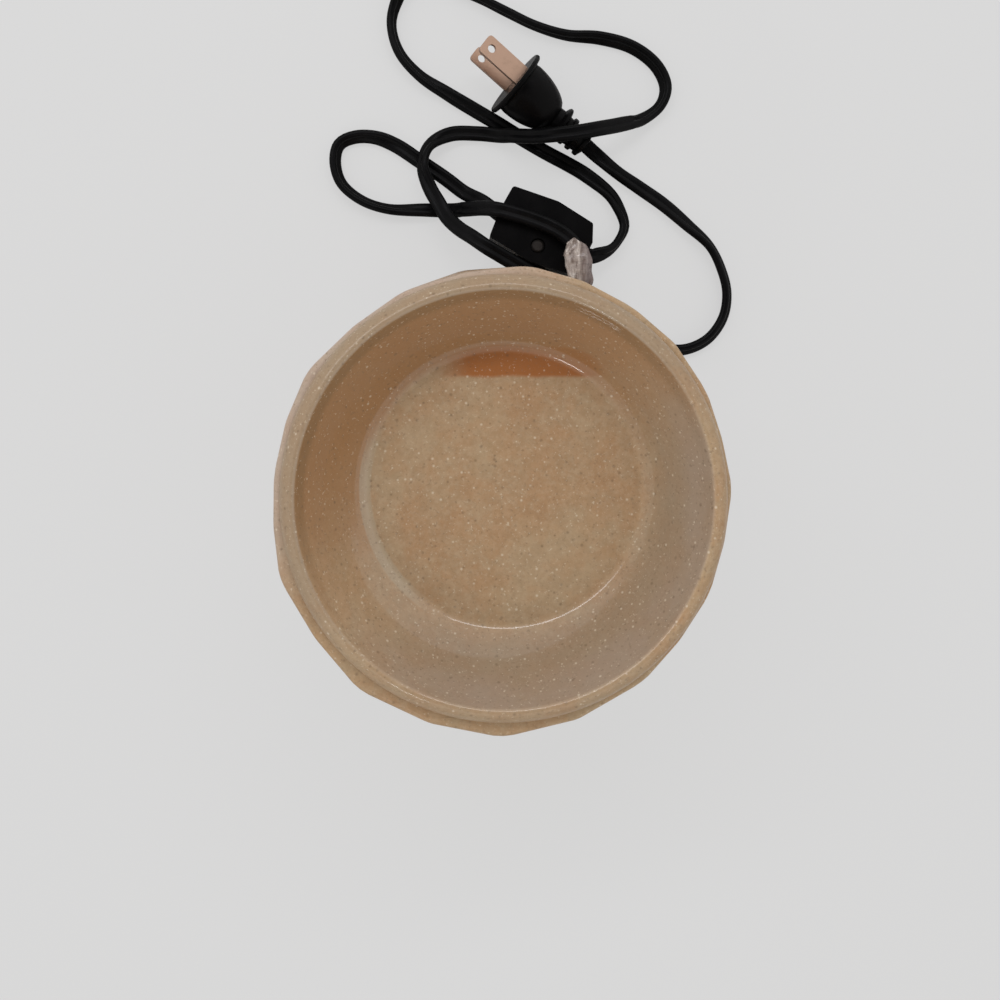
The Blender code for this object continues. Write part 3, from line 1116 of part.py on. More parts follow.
def make_switch(frame):
    middle = SWITCH_HEIGHT / 2
    half_gap = SEAT / 2
    outline = switch_outline()
    upper = slab("switch_upper", [outline], middle + half_gap, SWITCH_HEIGHT, "black_plastic",
                 rim=SWITCH_EDGE, parent=frame)
    lower = slab("switch_lower", [outline], 0.0, middle - half_gap, "black_plastic",
                 rim=-SWITCH_EDGE, parent=frame)
    wheel_half = WHEEL_THICK / 2 + SEAT
    pocket = rod("wheel_pocket", WHEEL_RADIUS + WHEEL_GAP, middle - wheel_half,
                 middle + wheel_half, 0.0, WHEEL_OFF, segments=40, parent=frame)
    contact_half = CONTACT_HEIGHT / 2 + SEAT
    cavity_left = SWITCH_LEFT - SWITCH_SOCKET - SEAT
    cavity_right = SWITCH_RIGHT - SWITCH_SOCKET - SEAT
    tail = 3 * CONTACT_SHEET
    top = SWITCH_END_HALF_WIDTH - SWITCH_CAVITY_WALL
    shelf = WHEEL_OFF + WHEEL_RADIUS - 1.0 * MM
    cavity = slab("contact_cavity", [[
        (-cavity_left, -LEAD_WIDTH / 2), (-cavity_left + tail, -LEAD_WIDTH / 2),
        (-cavity_left + tail, shelf), (cavity_right - tail, shelf),
        (cavity_right - tail, -LEAD_WIDTH / 2), (cavity_right, -LEAD_WIDTH / 2),
        (cavity_right, top), (-cavity_left, top)]],
        middle - contact_half, middle + contact_half, parent=frame)
    deep = SWITCH_SOCKET + 2 * SEAT
    bore_left = lead_bore("switch_bore_left", -THROUGH, deep, switch_end(-1))
    bore_right = lead_bore("switch_bore_right", -deep, THROUGH, switch_end(1))
    for bore in (bore_left, bore_right):
        bore.parent = frame
    head_seat = SWITCH_HEIGHT - SWITCH_SCREW_HEAD_THICK - SEAT
    screw_bore = rod("switch_screw_bore", SWITCH_SCREW_RADIUS + SEAT, -THROUGH,
                     SWITCH_HEIGHT + THROUGH, 0.0, WHEEL_OFF, segments=16, parent=frame)
    head_recess = rod("switch_screw_recess", SWITCH_SCREW_HEAD + SEAT, head_seat - SEAT,
                      SWITCH_HEIGHT + THROUGH, 0.0, WHEEL_OFF, parent=frame)
    nut_high = 2.6 * MM
    nut_recess = slab("switch_nut_recess", [circle(SWITCH_NUT_RADIUS + 1.3 * SEAT, count=6)],
                      -THROUGH, nut_high + SEAT, smooth=None, parent=frame,
                      place=Matrix.Translation((0.0, WHEEL_OFF, 0.0)))
    cut(upper, pocket, cavity, bore_left, bore_right, screw_bore, head_recess)
    cut(lower, pocket, cavity, bore_left, bore_right, screw_bore, nut_recess)
    turned("switch_screw", screw_profile(
        SWITCH_SCREW_RADIUS, SWITCH_SCREW_HEAD, SWITCH_SCREW_HEAD_THICK, 0.6 * MM, head_seat),
        "steel", segments=20, parent=frame, place=Matrix.Translation((0.0, WHEEL_OFF, 0.0)))
    slab("switch_nut", [circle(SWITCH_NUT_RADIUS, count=6),
                        circle(SWITCH_SCREW_RADIUS + SEAT, count=16)],
         0.4 * MM, nut_high, "steel", smooth=None, parent=frame,
         place=Matrix.Translation((0.0, WHEEL_OFF, 0.0)))
    rim = []
    for k in range(WHEEL_RIBS):
        for share, radius in ((0.0, 0.0), (0.18, 1.0), (0.42, 1.0), (0.6, 0.0)):
            reach = WHEEL_RADIUS - WHEEL_RIB_DEPTH * radius
            rim.append(tuple(polar(reach, 360 * (k + share) / WHEEL_RIBS).xy))
    slab("switch_wheel", [rim, circle(SWITCH_SCREW_RADIUS + WHEEL_PLAY, count=16)],
         -WHEEL_THICK / 2, WHEEL_THICK / 2, "black_plastic", smooth=None, parent=frame,
         place=Matrix.Translation((0.0, WHEEL_OFF, middle)))
    at_left = -cavity_left + SEAT + CONTACT_SHEET
    at_right = cavity_right - SEAT - CONTACT_SHEET
    rest = top - SEAT - CONTACT_SHEET / 2
    fixed = ribbon([(at_left, 0.0), (at_left, rest), (1.5 * MM, rest)], CONTACT_SHEET)
    sprung = ribbon([(at_right, 0.0), (at_right, rest), (9.0 * MM, rest),
                     (0.0, rest - 1.8 * MM)], CONTACT_SHEET)
    for name, outline in (("switch_contact_fixed", fixed), ("switch_contact_sprung", sprung)):
        slab(name, [outline], middle - CONTACT_HEIGHT / 2, middle + CONTACT_HEIGHT / 2, "brass",
             parent=frame)


# The plug

def make_plug(frame):
    flange, thick = PLUG_FLANGE_RADIUS, PLUG_FLANGE_THICK
    profile = [(0.0, PLUG_LENGTH), (PLUG_TAIL_END_RADIUS, PLUG_LENGTH)]
    collar = PLUG_BODY_LENGTH + PLUG_COLLAR_AT
    collar_end = collar + 1.6 * MM
    start = collar_end + 1.2 * MM
    pitch = (PLUG_LENGTH - start) / PLUG_RIBS
    for k in reversed(range(PLUG_RIBS)):
        low = start + pitch * k
        share = (k + 0.5) / PLUG_RIBS
        radius = PLUG_TAIL_RADIUS + (PLUG_TAIL_END_RADIUS - PLUG_TAIL_RADIUS) * share
        profile += [(radius, low + pitch * 0.92), (radius + PLUG_RIB_RISE, low + pitch * 0.82),
                    (radius + PLUG_RIB_RISE, low + pitch * 0.36), (radius, low + pitch * 0.26)]
    profile += [(PLUG_TAIL_RADIUS, collar_end + 0.3 * MM), (PLUG_COLLAR_RADIUS, collar_end),
                (PLUG_COLLAR_RADIUS, collar), (PLUG_TAIL_RADIUS, collar - 0.6 * MM)]
    neck = thick + 0.8 * MM
    for k in range(7):
        share = 1 - k / 6
        along = neck + 1.5 * MM + (PLUG_BODY_LENGTH - neck - 1.5 * MM) * share
        radius = PLUG_TAIL_RADIUS + (PLUG_BODY_RADIUS - PLUG_TAIL_RADIUS) * math.sqrt(
            1 - share ** 2)
        profile.append((radius, along))
    profile += [(PLUG_BODY_RADIUS - 0.5 * MM, neck), (flange - 0.6 * MM, thick),
                (flange, thick - 0.6 * MM), (flange, 0.5 * MM), (flange - 0.5 * MM, 0.0),
                (0.0, 0.0)]
    body = turned("plug_body", profile, "black_plastic", segments=24, parent=frame, place=LYING)
    bore = lead_bore("plug_bore", PLUG_LENGTH - PLUG_SOCKET - SEAT, PLUG_LENGTH + THROUGH,
                     Matrix.Identity(4))
    bore.parent = frame
    cut(body, bore)
    for name, side in (("plug_blade_upper", 1), ("plug_blade_lower", -1)):
        half = BLADE_WIDTHS[name] / 2
        height = side * BLADE_SPACING / 2
        tip = -BLADE_LENGTH
        outline = rounded([(tip, -half, 1.4 * MM), (BLADE_ROOT, -half, 0.0),
                           (BLADE_ROOT, half, 0.0), (tip, half, 1.4 * MM)])
        hole = circle(BLADE_HOLE_RADIUS, tip + BLADE_HOLE_FROM_TIP, 0.0, 16)
        slab(name, [outline, hole], height - BLADE_THICK / 2, height + BLADE_THICK / 2, "brass",
             parent=frame)
        cut(body, box(f"{name}_slot", (-THROUGH, -half - SEAT, height - BLADE_THICK / 2 - SEAT),
                      (BLADE_ROOT + SEAT, half + SEAT, height + BLADE_THICK / 2 + SEAT),
                      parent=frame))


# The wrapper

def make_wrap(lead):
    """A blank pale wrapper folded round the lead: a soft, flattened sleeve."""
    count = round(WRAP_LENGTH / (2.0 * MM))
    stretch = []
    walked = 0.0
    for a, b in zip(lead, lead[1:]):
        piece = (b - a).xyz.length
        while len(stretch) <= count:
            goal = WRAP_START + len(stretch) * 2.0 * MM
            if goal > walked + piece:
                break
            stretch.append(a.lerp(b, (goal - walked) / piece))
        walked += piece
    shape = bmesh.new()
    rings = []
    for i, at in enumerate(stretch):
        ahead = (stretch[min(i + 1, count)] - stretch[max(i - 1, 0)]).xyz.normalized()
        side = ahead.cross(Vector((0, 0, 1))).normalized()
        up = side.cross(ahead)
        outer, inner = [], []
        for k in range(WRAP_SIDES):
            turn = 2 * math.pi * k / WRAP_SIDES
            crease = 1 + 0.06 * math.sin(3 * turn + 1.3 * i)
            across = math.copysign(abs(math.cos(turn)) ** 0.7, math.cos(turn))
            above = math.copysign(abs(math.sin(turn)) ** 0.7, math.sin(turn))
            high = WRAP_ABOVE * crease if above > 0 else WRAP_BELOW
            for ring, wide, tall in ((outer, WRAP_WIDTH / 2 * crease, high),
                                     (inner, LEAD_WIDTH / 2 + SEAT * 2,
                                      LEAD_THICK / 2 + SEAT * 1.6)):
                ring.append(shape.verts.new(at.xyz + side * across * wide + up * above * tall))
        rings.append((outer, inner))
    for (outer, inner), (outer_next, inner_next) in zip(rings, rings[1:]):
        for k in range(WRAP_SIDES):
            n = (k + 1) % WRAP_SIDES
            shape.faces.new((outer[k], outer[n], outer_next[n], outer_next[k]))
            shape.faces.new((inner[n], inner[k], inner_next[k], inner_next[n]))
    for outer, inner in (rings[0], rings[-1]):
        for k in range(WRAP_SIDES):
            n = (k + 1) % WRAP_SIDES
            shape.faces.new((outer[k], outer[n], inner[n], inner[k]))
    bmesh.ops.recalc_face_normals(shape, faces=shape.faces)
    mesh = bpy.data.meshes.new("cord_wrap")
    shape.to_mesh(mesh)
    shape.free()
    settle(bpy.data.objects.new("cord_wrap", mesh), "cord_wrap", "wrapper")


clear_scene()
PARTS = collection("wax_warmer")
CUTTERS = collection("cutters")

switch_place = Matrix.Translation(SWITCH_PLACE) @ Matrix.Rotation(
    math.radians(SWITCH_TURN), 4, "Z")
plug_place = (Matrix.Translation(PLUG_PLACE)
              @ Matrix.Rotation(math.radians(PLUG_TURN), 4, "Z")
              @ Matrix.Rotation(math.radians(PLUG_DIP), 4, "Y")
              @ Matrix.Rotation(math.radians(PLUG_ROLL), 4, "X"))

make_pot()
make_dish()
make_base_plate()
make_base_fasteners()
make_feet()
make_bushing()
make_clamp()
make_bracket()
make_lampholder()
make_lead_cores()
make_bulb()
make_switch(frame_at("switch_frame", switch_place))
make_plug(frame_at("plug_frame", plug_place))
make_wrap(make_lead(switch_place, plug_place))
bpy.context.view_layer.update()
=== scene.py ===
"""The looks of an electric wax warmer: a speckled glazed pot with soft facets and its lift-off
dish, and a flat black lead with an in-line thumbwheel switch, a blank wrapper and a plug.

Metres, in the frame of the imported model: the origin is on the pot's axis, on the table.
"""

import json
import math

import bmesh
import bpy
from mathutils import Matrix, Vector, noise

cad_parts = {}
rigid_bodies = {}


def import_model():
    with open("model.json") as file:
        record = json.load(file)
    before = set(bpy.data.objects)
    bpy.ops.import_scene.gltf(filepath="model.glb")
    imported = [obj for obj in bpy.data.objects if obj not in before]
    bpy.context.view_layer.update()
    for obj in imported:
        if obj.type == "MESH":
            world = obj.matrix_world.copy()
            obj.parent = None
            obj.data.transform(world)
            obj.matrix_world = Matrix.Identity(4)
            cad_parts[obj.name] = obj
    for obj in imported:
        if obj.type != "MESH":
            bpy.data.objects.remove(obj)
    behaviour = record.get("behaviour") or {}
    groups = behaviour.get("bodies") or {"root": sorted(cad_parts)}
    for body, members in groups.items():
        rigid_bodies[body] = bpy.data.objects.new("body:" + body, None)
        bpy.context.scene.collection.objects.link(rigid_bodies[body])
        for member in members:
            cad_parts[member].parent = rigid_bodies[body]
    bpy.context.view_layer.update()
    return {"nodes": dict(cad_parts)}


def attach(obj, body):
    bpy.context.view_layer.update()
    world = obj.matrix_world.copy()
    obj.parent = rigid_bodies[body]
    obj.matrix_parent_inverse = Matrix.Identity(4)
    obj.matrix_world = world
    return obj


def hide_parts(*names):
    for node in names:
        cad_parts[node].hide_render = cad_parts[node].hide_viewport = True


MM = 0.001
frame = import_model()
nodes = frame["nodes"]


# The camera, which looks straight down

CAMERA_PLACE = (-13.2 * MM, 26.3 * MM, 406.0 * MM)
CAMERA_SHIFT = (0.043, -0.094)
SENSOR_WIDTH = 36.0
LENS_LENGTH = 1.003  # in widths of the sensor


def place_camera():
    data = bpy.data.cameras.new("from_above")
    data.sensor_width = SENSOR_WIDTH
    data.lens = SENSOR_WIDTH * LENS_LENGTH
    data.shift_x, data.shift_y = CAMERA_SHIFT
    camera = bpy.data.objects.new("from_above", data)
    camera.location = CAMERA_PLACE
    bpy.context.scene.collection.objects.link(camera)
    bpy.context.scene.camera = camera
    bpy.context.scene.view_settings.view_transform = "Standard"


# Shader maths

class Value:
    """A number that a shader works out, with the usual signs."""

    def __init__(self, finish, socket):
        self.finish = finish
        self.socket = socket

    def work(self, operation, *inputs):
        """What a Math node makes of these inputs, in their order."""
        made = self.finish.add("Math", {"operation": operation}, dict(enumerate(inputs)))
        return Value(self.finish, made.outputs[0])

    def __add__(self, other):
        return self.work("ADD", self, other)

    def __radd__(self, other):
        return self.work("ADD", other, self)

    def __sub__(self, other):
        return self.work("SUBTRACT", self, other)

    def __rsub__(self, other):
        return self.work("SUBTRACT", other, self)

    def __mul__(self, other):
        return self.work("MULTIPLY", self, other)

    def __rmul__(self, other):
        return self.work("MULTIPLY", other, self)

    def __truediv__(self, other):
        return self.work("DIVIDE", self, other)

    def __pow__(self, other):
        return self.work("POWER", self, other)

    def most(self, other):
        """The larger of the two."""
        return self.work("MAXIMUM", self, other)

    def ramp(self, low, high, start=0.0, end=1.0):
        """Start where this is low, end where it is high, and smooth between them."""
        made = self.finish.add(
            "MapRange", {"interpolation_type": "SMOOTHSTEP"},
            {"Value": self, "From Min": low, "From Max": high, "To Min": start, "To Max": end})
        return Value(self.finish, made.outputs["Result"])


class Finish:
    """A material with one Principled shader. The keywords are sockets that stay the same all
    over."""

    def __init__(self, name, **fixed):
        self.material = bpy.data.materials.new(name)
        self.material.use_nodes = True
        self.tree = self.material.node_tree
        self.shader = self.tree.nodes["Principled BSDF"]
        for key, value in fixed.items():
            self.feed(self.shader.inputs[key.replace("_", " ").title().replace("Ior", "IOR")],
                      value)

    def feed(self, socket, value):
        """Links a value to a socket, or sets a constant on it."""
        if isinstance(value, Value):
            value = value.socket
        if isinstance(value, bpy.types.NodeSocket):
            self.tree.links.new(value, socket)
        elif isinstance(value, tuple) and len(value) == 3 and socket.type == "RGBA":
            socket.default_value = (*value, 1.0)
        else:
            socket.default_value = value

    def add(self, kind, settings=None, sockets=None):
        made = self.tree.nodes.new("ShaderNode" + kind)
        for key, value in (settings or {}).items():
            setattr(made, key, value)
        for key, value in (sockets or {}).items():
            self.feed(made.inputs[key], value)
        return made

    def set(self, **sockets):
        """Feeds sockets of the shader, named as in Blender but with underscores."""
        for key, value in sockets.items():
            self.feed(self.shader.inputs[key.replace("_", " ").title()], value)

    def place(self):
        """The object's own coordinates."""
        return self.add("TexCoord").outputs["Object"]

    def axes(self):
        split = self.add("SeparateXYZ", sockets={"Vector": self.place()})
        return [Value(self, split.outputs[axis]) for axis in "XYZ"]

    def noise(self, size, detail=3.0, roughness=0.5, seed=0.0):
        """Cloudy noise, its patches about that size in metres. Another seed moves them."""
        made = self.add("TexNoise", {"noise_dimensions": "4D"}, {
            "Vector": self.place(), "W": seed, "Scale": 1.0 / size, "Detail": detail,
            "Roughness": roughness})
        return Value(self, made.outputs["Fac"])

    def specks(self, spacing, radius, share, soft=0.3, stray=1.0):
        """1 inside round specks of about that radius in a share of the cells, 0 elsewhere.
        Each speck has its own size, between 0.5 and 1.3 of that radius."""
        made = self.add("TexVoronoi", sockets={
            "Vector": self.place(), "Scale": 1.0 / spacing, "Randomness": stray})
        chance = self.add("SeparateColor", sockets={"Color": made.outputs["Color"]})
        pick = Value(self, chance.outputs["Red"])
        size = Value(self, chance.outputs["Green"]) * 0.8 + 0.5
        edge = Value(self, made.outputs["Distance"]) / size
        reach = radius / spacing
        filled = edge.ramp(reach * (1 - soft), reach * (1 + soft), 1.0, 0.0)
        return filled * pick.work("LESS_THAN", pick, share)

    def blend(self, share, first, second, kind="MIX"):
        """The first colour, with that share of the second in it."""
        made = self.add("Mix", {"data_type": "RGBA", "blend_type": kind}, {"Factor": share})
        self.feed(made.inputs[6], first)
        self.feed(made.inputs[7], second)
        return made.outputs[2]

    def bump(self, height, depth, strength=1.0):
        made = self.add("Bump", sockets={
            "Height": height, "Distance": depth, "Strength": strength})
        return made.outputs["Normal"]


# The finishes

FLOOR_DRIFT = 1.2 * MM  # how far off the axis the dish's floor lies, in X and in Y
DRIFT_TOP, DRIFT_END = 112.0 * MM, 101.0 * MM  # the dish drifts off it between these heights
GLAZE = (0.420, 0.298, 0.178)
GLAZE_WARM = (0.402, 0.262, 0.148)
GLAZE_PALE = (0.480, 0.360, 0.236)
CLAY_GRAIN = (0.30, 0.205, 0.125)
RUDDY_TINT = (1.0, 0.945, 0.90)
PATCH_TINT = (0.90, 0.895, 0.88)
DARK_SPECK = (0.120, 0.080, 0.048)
TINY_SPECK = (0.200, 0.142, 0.088)
PALE_SPECK = (0.72, 0.63, 0.49)
PAINTED_AMBER_REFLECTION = (0.335, 0.113, 0.028)  # painted reflection and shade on the back of the dish's floor
# Painted shade and painted reflections inside the dish, and painted light on the pot's top
PAINTED_SIDE_SHADE = (0.330, 0.168, 0.070)
PAINTED_MOUTH_SHADE = (0.190, 0.115, 0.050)
PAINTED_GREY_VEIL = (0.268, 0.208, 0.146)
PAINTED_HAZE_REFLECTION = (0.350, 0.285, 0.262)
PAINTED_LIP_SHADE = (0.295, 0.222, 0.152)
PAINTED_CORNER_REFLECTION = (0.42, 0.345, 0.245)
PAINTED_LIT_FACETS = (0.480, 0.415, 0.385)


def inside_painted_light(made, base, cloud, x, y, z, radius):
    """The dish's inside: painted shade and reflections by place, and how much of the coat is
    dulled.
    """
    # Above the middle of the dish's wall, so that its underside keeps the plain glaze
    under = (radius - 43.0 * MM).most(0.0) * 1.1 + 98.3 * MM
    inner = (z - under).ramp(-0.7 * MM, 0.7 * MM)

    # Painted reflection and shade: an amber crescent along the back of the floor, with a wavy
    # front edge
    wavy = made.noise(9 * MM, 2.0) * (3.0 * MM)
    reach = radius - x.ramp(6.0 * MM, 28.0 * MM) * (4.6 * MM)
    painted_crescent = (y + wavy * 0.5).ramp(34.0 * MM, 35.6 * MM) * reach.ramp(44.6 * MM, 43.4 * MM)
    painted_crescent = painted_crescent * (x + wavy).ramp(-21.0 * MM, -8.0 * MM) * x.ramp(33.0 * MM, 24.0 * MM)
    base = made.blend(painted_crescent * inner * 0.9, base, PAINTED_AMBER_REFLECTION)

    # Painted shade: browner on the wall towards the back left, and just inside the mouth
    mouth = inner * radius.ramp(59.4 * MM, 58.6 * MM)
    side = mouth * (y - 0.45 * x).ramp(-20.0 * MM, 40.0 * MM)
    base = made.blend(radius.ramp(41.0 * MM, 44.0 * MM) * side * 0.82, base, PAINTED_SIDE_SHADE)
    base = made.blend(radius.ramp(56.2 * MM, 57.6 * MM) * side * 0.5, base, PAINTED_MOUTH_SHADE)
    # Painted shade and reflection: greyer and darker towards the front right, with a paler
    # lavender haze near the mouth
    lower = mouth * (x - 1.2 * y).ramp(-15.0 * MM, 55.0 * MM)
    base = made.blend(radius.ramp(40.4 * MM, 50.0 * MM) * lower * 0.62, base, PAINTED_GREY_VEIL)
    reflected_haze = radius.ramp(50.5 * MM, 56.0 * MM) * lower * cloud.ramp(0.3, 0.6)
    base = made.blend(reflected_haze * 0.26, base, PAINTED_HAZE_REFLECTION)

    # Painted shade on the lip, and a painted reflection: a pale band on the left where the floor
    # turns up
    lip_shade_mask = radius.ramp(58.6 * MM, 59.3 * MM) * (y - 0.7 * x).ramp(-30.0 * MM, 20.0 * MM).most(
        y.ramp(-30.0 * MM, -60.0 * MM) * 0.5)
    base = made.blend(lip_shade_mask * 0.62, base, PAINTED_LIP_SHADE)
    # Painted reflection: the pale band where the floor turns up on the left
    reflected_band = inner * radius.ramp(40.4 * MM, 41.2 * MM) * radius.ramp(44.4 * MM, 43.8 * MM)
    reflected_band = reflected_band * x.ramp(-20.0 * MM, -32.0 * MM) * y.ramp(24.0 * MM, 2.0 * MM)
    base = made.blend(reflected_band * 0.6, base, PAINTED_CORNER_REFLECTION)

    # The coat is duller round the right side of the floor
    ring = inner * radius.ramp(40.8 * MM, 42.0 * MM) * radius.ramp(47.0 * MM, 45.0 * MM)
    dulled = ring * (x - 0.2 * y).ramp(16.0 * MM, 36.0 * MM) * y.ramp(-33.0 * MM, -25.0 * MM)
    return base, dulled * 0.55


def speckled_glaze(name, inside=False):
    """A clear, wet-looking glaze over a speckled beige clay, with painted light, shade and
    reflections.
    """
    made = Finish(name, coat_roughness=0.07 if inside else 0.16, coat_ior=1.5,
                  specular_ior_level=0.12)
    cloud = made.noise(26 * MM, 4.0, 0.6)
    grain = made.noise(1.5 * MM, 4.0, 0.7)
    fine = made.noise(0.45 * MM, 2.0, 0.6)
    base = made.blend(cloud.ramp(0.38, 0.62), GLAZE_WARM, GLAZE)
    base = made.blend(grain.ramp(0.40, 0.72) * 0.55, base, GLAZE_PALE)
    base = made.blend(fine.ramp(0.5, 0.75) * 0.25, base, CLAY_GRAIN)
    ruddy = made.noise(8 * MM, 2.0, 0.6, 6.0).ramp(0.42, 0.60)
    base = made.blend(ruddy, base, RUDDY_TINT, "MULTIPLY")
    patch = made.noise(2.6 * MM, 3.0, 0.65, 2.0).ramp(0.40, 0.62)
    base = made.blend(patch * 0.8, base, PATCH_TINT, "MULTIPLY")
    pale = made.specks(2.1 * MM, 0.30 * MM, 0.45, 0.6) * 0.9
    pale = pale.most(made.noise(0.85 * MM, 3.0, 0.6, 4.0).ramp(0.60, 0.70) * 0.7)
    dark = made.specks(2.0 * MM, 0.36 * MM, 0.46, 0.7) * 0.8
    tiny = made.noise(1.0 * MM, 3.0, 0.6, 9.0).ramp(0.56, 0.68)

    x, y, z = made.axes()
    if inside:
        drift = z.ramp(DRIFT_TOP, DRIFT_END) * FLOOR_DRIFT
        x, y = x - drift, y - drift
    radius = (x * x + y * y) ** 0.5
    if inside:
        base, dulled = inside_painted_light(made, base, cloud, x, y, z, radius)
    else:
        # Painted light and reflection: the tops of the facets paler and lavender towards the back
        # left
        lit = z.ramp(110.0 * MM, 118.0 * MM) * (y - 1.1 * x).ramp(25.0 * MM, 80.0 * MM)
        base, dulled = made.blend(lit * 0.45, base, PAINTED_LIT_FACETS), 0.0

    base = made.blend(tiny * 0.42, base, TINY_SPECK)
    base = made.blend(dark * 0.50, base, DARK_SPECK)
    base = made.blend(pale * 0.56, base, PALE_SPECK)
    relief = made.noise(4.5 * MM, 2.0) * 0.7 + grain * 0.12 - dark * 0.10
    bare = radius.ramp(59.8 * MM, 61.4 * MM) * z.ramp(106.0 * MM, 113.0 * MM) * 0.80
    made.set(base_color=base, roughness=0.30 + made.noise(12 * MM) * 0.12,
             coat_weight=0.85 - dark * 0.3 - bare - dulled,
             normal=made.bump(relief, 0.16 * MM, 0.5))
    return made.material


def moulded_plastic(name, colour, rough, grain=0.35, depth=0.05):
    """Plastic or rubber as it leaves the mould. The grain and its depth are in millimetres."""
    made = Finish(name, specular_ior_level=0.06)
    fine = made.noise(grain * MM, 3.0, 0.6)
    wide = made.noise(7 * MM, 3.0, 0.6)
    lighter = tuple(c * 1.6 + 0.0006 for c in colour)
    base = made.blend(wide.ramp(0.35, 0.75) * 0.6, colour, lighter)
    made.set(base_color=base, roughness=rough + wide * 0.14 - fine * 0.05,
             normal=made.bump(fine + wide * 0.8, depth * MM, 0.5))
    return made.material


def lead_jacket(name):
    """Soft black PVC, a little glossy, with faint rubbed and dusty stretches."""
    made = Finish(name, specular_ior_level=0.07)
    long = made.noise(14 * MM, 3.0, 0.55)
    fine = made.noise(0.6 * MM, 2.0)
    base = made.blend(long.ramp(0.4, 0.7), (0.0020, 0.0020, 0.0023), (0.0052, 0.0050, 0.0056))
    base = made.blend(fine.ramp(0.62, 0.8) * 0.25, base, (0.014, 0.0135, 0.0135))
    made.set(base_color=base, roughness=0.30 + long * 0.16,
             normal=made.bump(made.noise(2.6 * MM, 2.0) + fine * 0.15, 0.10 * MM, 0.5))
    return made.material


def worn_metal(name, colour, rough, brushed=(1.0, 1.0, 1.0), spots=0.25):
    """Metal with dull spots. Its fine lines are drawn out along the axes brushed under 1."""
    made = Finish(name, metallic=1.0)
    stretch = made.add("Mapping", sockets={"Vector": made.place(), "Scale": brushed})
    lines = made.add("TexNoise", sockets={
        "Vector": stretch.outputs["Vector"], "Scale": 1.0 / (1.2 * MM), "Detail": 3.0})
    lines = Value(made, lines.outputs["Fac"])
    dull = made.noise(3.2 * MM, 4.0, 0.65)
    darker = tuple(c * 0.55 for c in colour)
    base = made.blend(dull.ramp(0.48, 0.78) * spots * 2, colour, darker)
    made.set(base_color=base, roughness=rough + dull * 0.16 + lines * 0.08,
             normal=made.bump(lines, 0.02 * MM, 0.6))
    return made.material


def fired_steatite(name):
    """The white unglazed ceramic of the lampholder and the bulb's base."""
    made = Finish(name, coat_weight=0.15)
    grain = made.noise(0.5 * MM, 4.0, 0.7)
    cloud = made.noise(6 * MM, 3.0)
    base = made.blend(cloud.ramp(0.35, 0.7), (0.72, 0.69, 0.61), (0.80, 0.78, 0.72))
    base = made.blend(made.specks(1.8 * MM, 0.14 * MM, 0.3) * 0.5, base, (0.35, 0.30, 0.24))
    made.set(base_color=base, roughness=0.5 + grain * 0.15,
             normal=made.bump(grain, 0.06 * MM, 0.6))
    return made.material


def clear_glass(name, dimples=False):
    """The capsule's smooth glass, or the lens's with its dimples."""
    made = Finish(name, transmission_weight=1.0, ior=1.47)
    height = made.noise(1.6 * MM, 1.0)
    if dimples:
        cells = made.add("TexVoronoi", sockets={
            "Vector": made.place(), "Scale": 1.0 / (2.4 * MM), "Randomness": 0.35})
        height = Value(made, cells.outputs["Distance"]) * 2.0 + height * 0.2
    made.set(base_color=(0.93, 0.95, 0.95), roughness=0.03 + made.noise(9 * MM) * 0.05,
             normal=made.bump(height, 0.35 * MM if dimples else 0.05 * MM, 0.5))
    return made.material


def mirrored_glass(name):
    """The bulb's silvered reflector."""
    made = Finish(name, metallic=1.0)
    cloud = made.noise(5 * MM, 3.0)
    base = made.blend(cloud.ramp(0.4, 0.8) * 0.5, (0.86, 0.86, 0.88), (0.72, 0.71, 0.70))
    made.set(base_color=base, roughness=0.10 + cloud * 0.10,
             normal=made.bump(made.noise(2.2 * MM, 1.0), 0.05 * MM, 0.4))
    return made.material


def crinkled_wrapper(name):
    """A thin milky plastic with long folds and a few creases, with painted light and shade."""
    made = Finish(name, specular_ior_level=0.5, coat_roughness=0.15)
    along = made.add("Mapping", sockets={
        "Vector": made.place(), "Rotation": (0.0, 0.0, math.radians(-14.0)),
        "Scale": (1.0, 0.22, 0.6)}).outputs["Vector"]
    across = made.add("Mapping", sockets={
        "Vector": made.place(), "Rotation": (0.0, 0.0, math.radians(-8.0)),
        "Scale": (0.25, 1.0, 0.5)}).outputs["Vector"]
    folds, creases = (
        Value(made, made.add("TexNoise", sockets={
            "Vector": way, "Scale": 1.0 / (size * MM), "Detail": 3.0}).outputs["Fac"])
        for way, size in ((along, 1.5), (across, 2.4)))
    fine = made.noise(0.9 * MM, 3.0, 0.7)
    x = made.axes()[0]
    painted_side_shade = (x + folds * (2.0 * MM)).ramp(33.5 * MM, 38.5 * MM)
    # Painted highlights and shade on the folds: their crests paler, with brighter bands, and
    # their hollows darker
    base = made.blend(folds.ramp(0.36, 0.60), (0.190, 0.145, 0.125), (0.44, 0.375, 0.335))
    base = made.blend(folds.ramp(0.56, 0.64) * 0.8, base, (0.66, 0.60, 0.55))
    # Painted shade along the wrapper's right side
    base = made.blend(painted_side_shade * 0.75, base, (0.125, 0.085, 0.082))
    # Painted shade: dark lines along the creases
    off_crease = creases - 0.5
    off_crease = off_crease.work("ABSOLUTE", off_crease)
    base = made.blend(off_crease.ramp(0.0, 0.016, 1.0, 0.0) * 0.5, base, (0.060, 0.042, 0.038))
    made.set(base_color=base, roughness=0.26 + fine * 0.25, coat_weight=0.4,
             normal=made.bump(folds * 1.2 + creases * 0.8 + fine * 0.3, 0.5 * MM, 0.8))
    return made.material


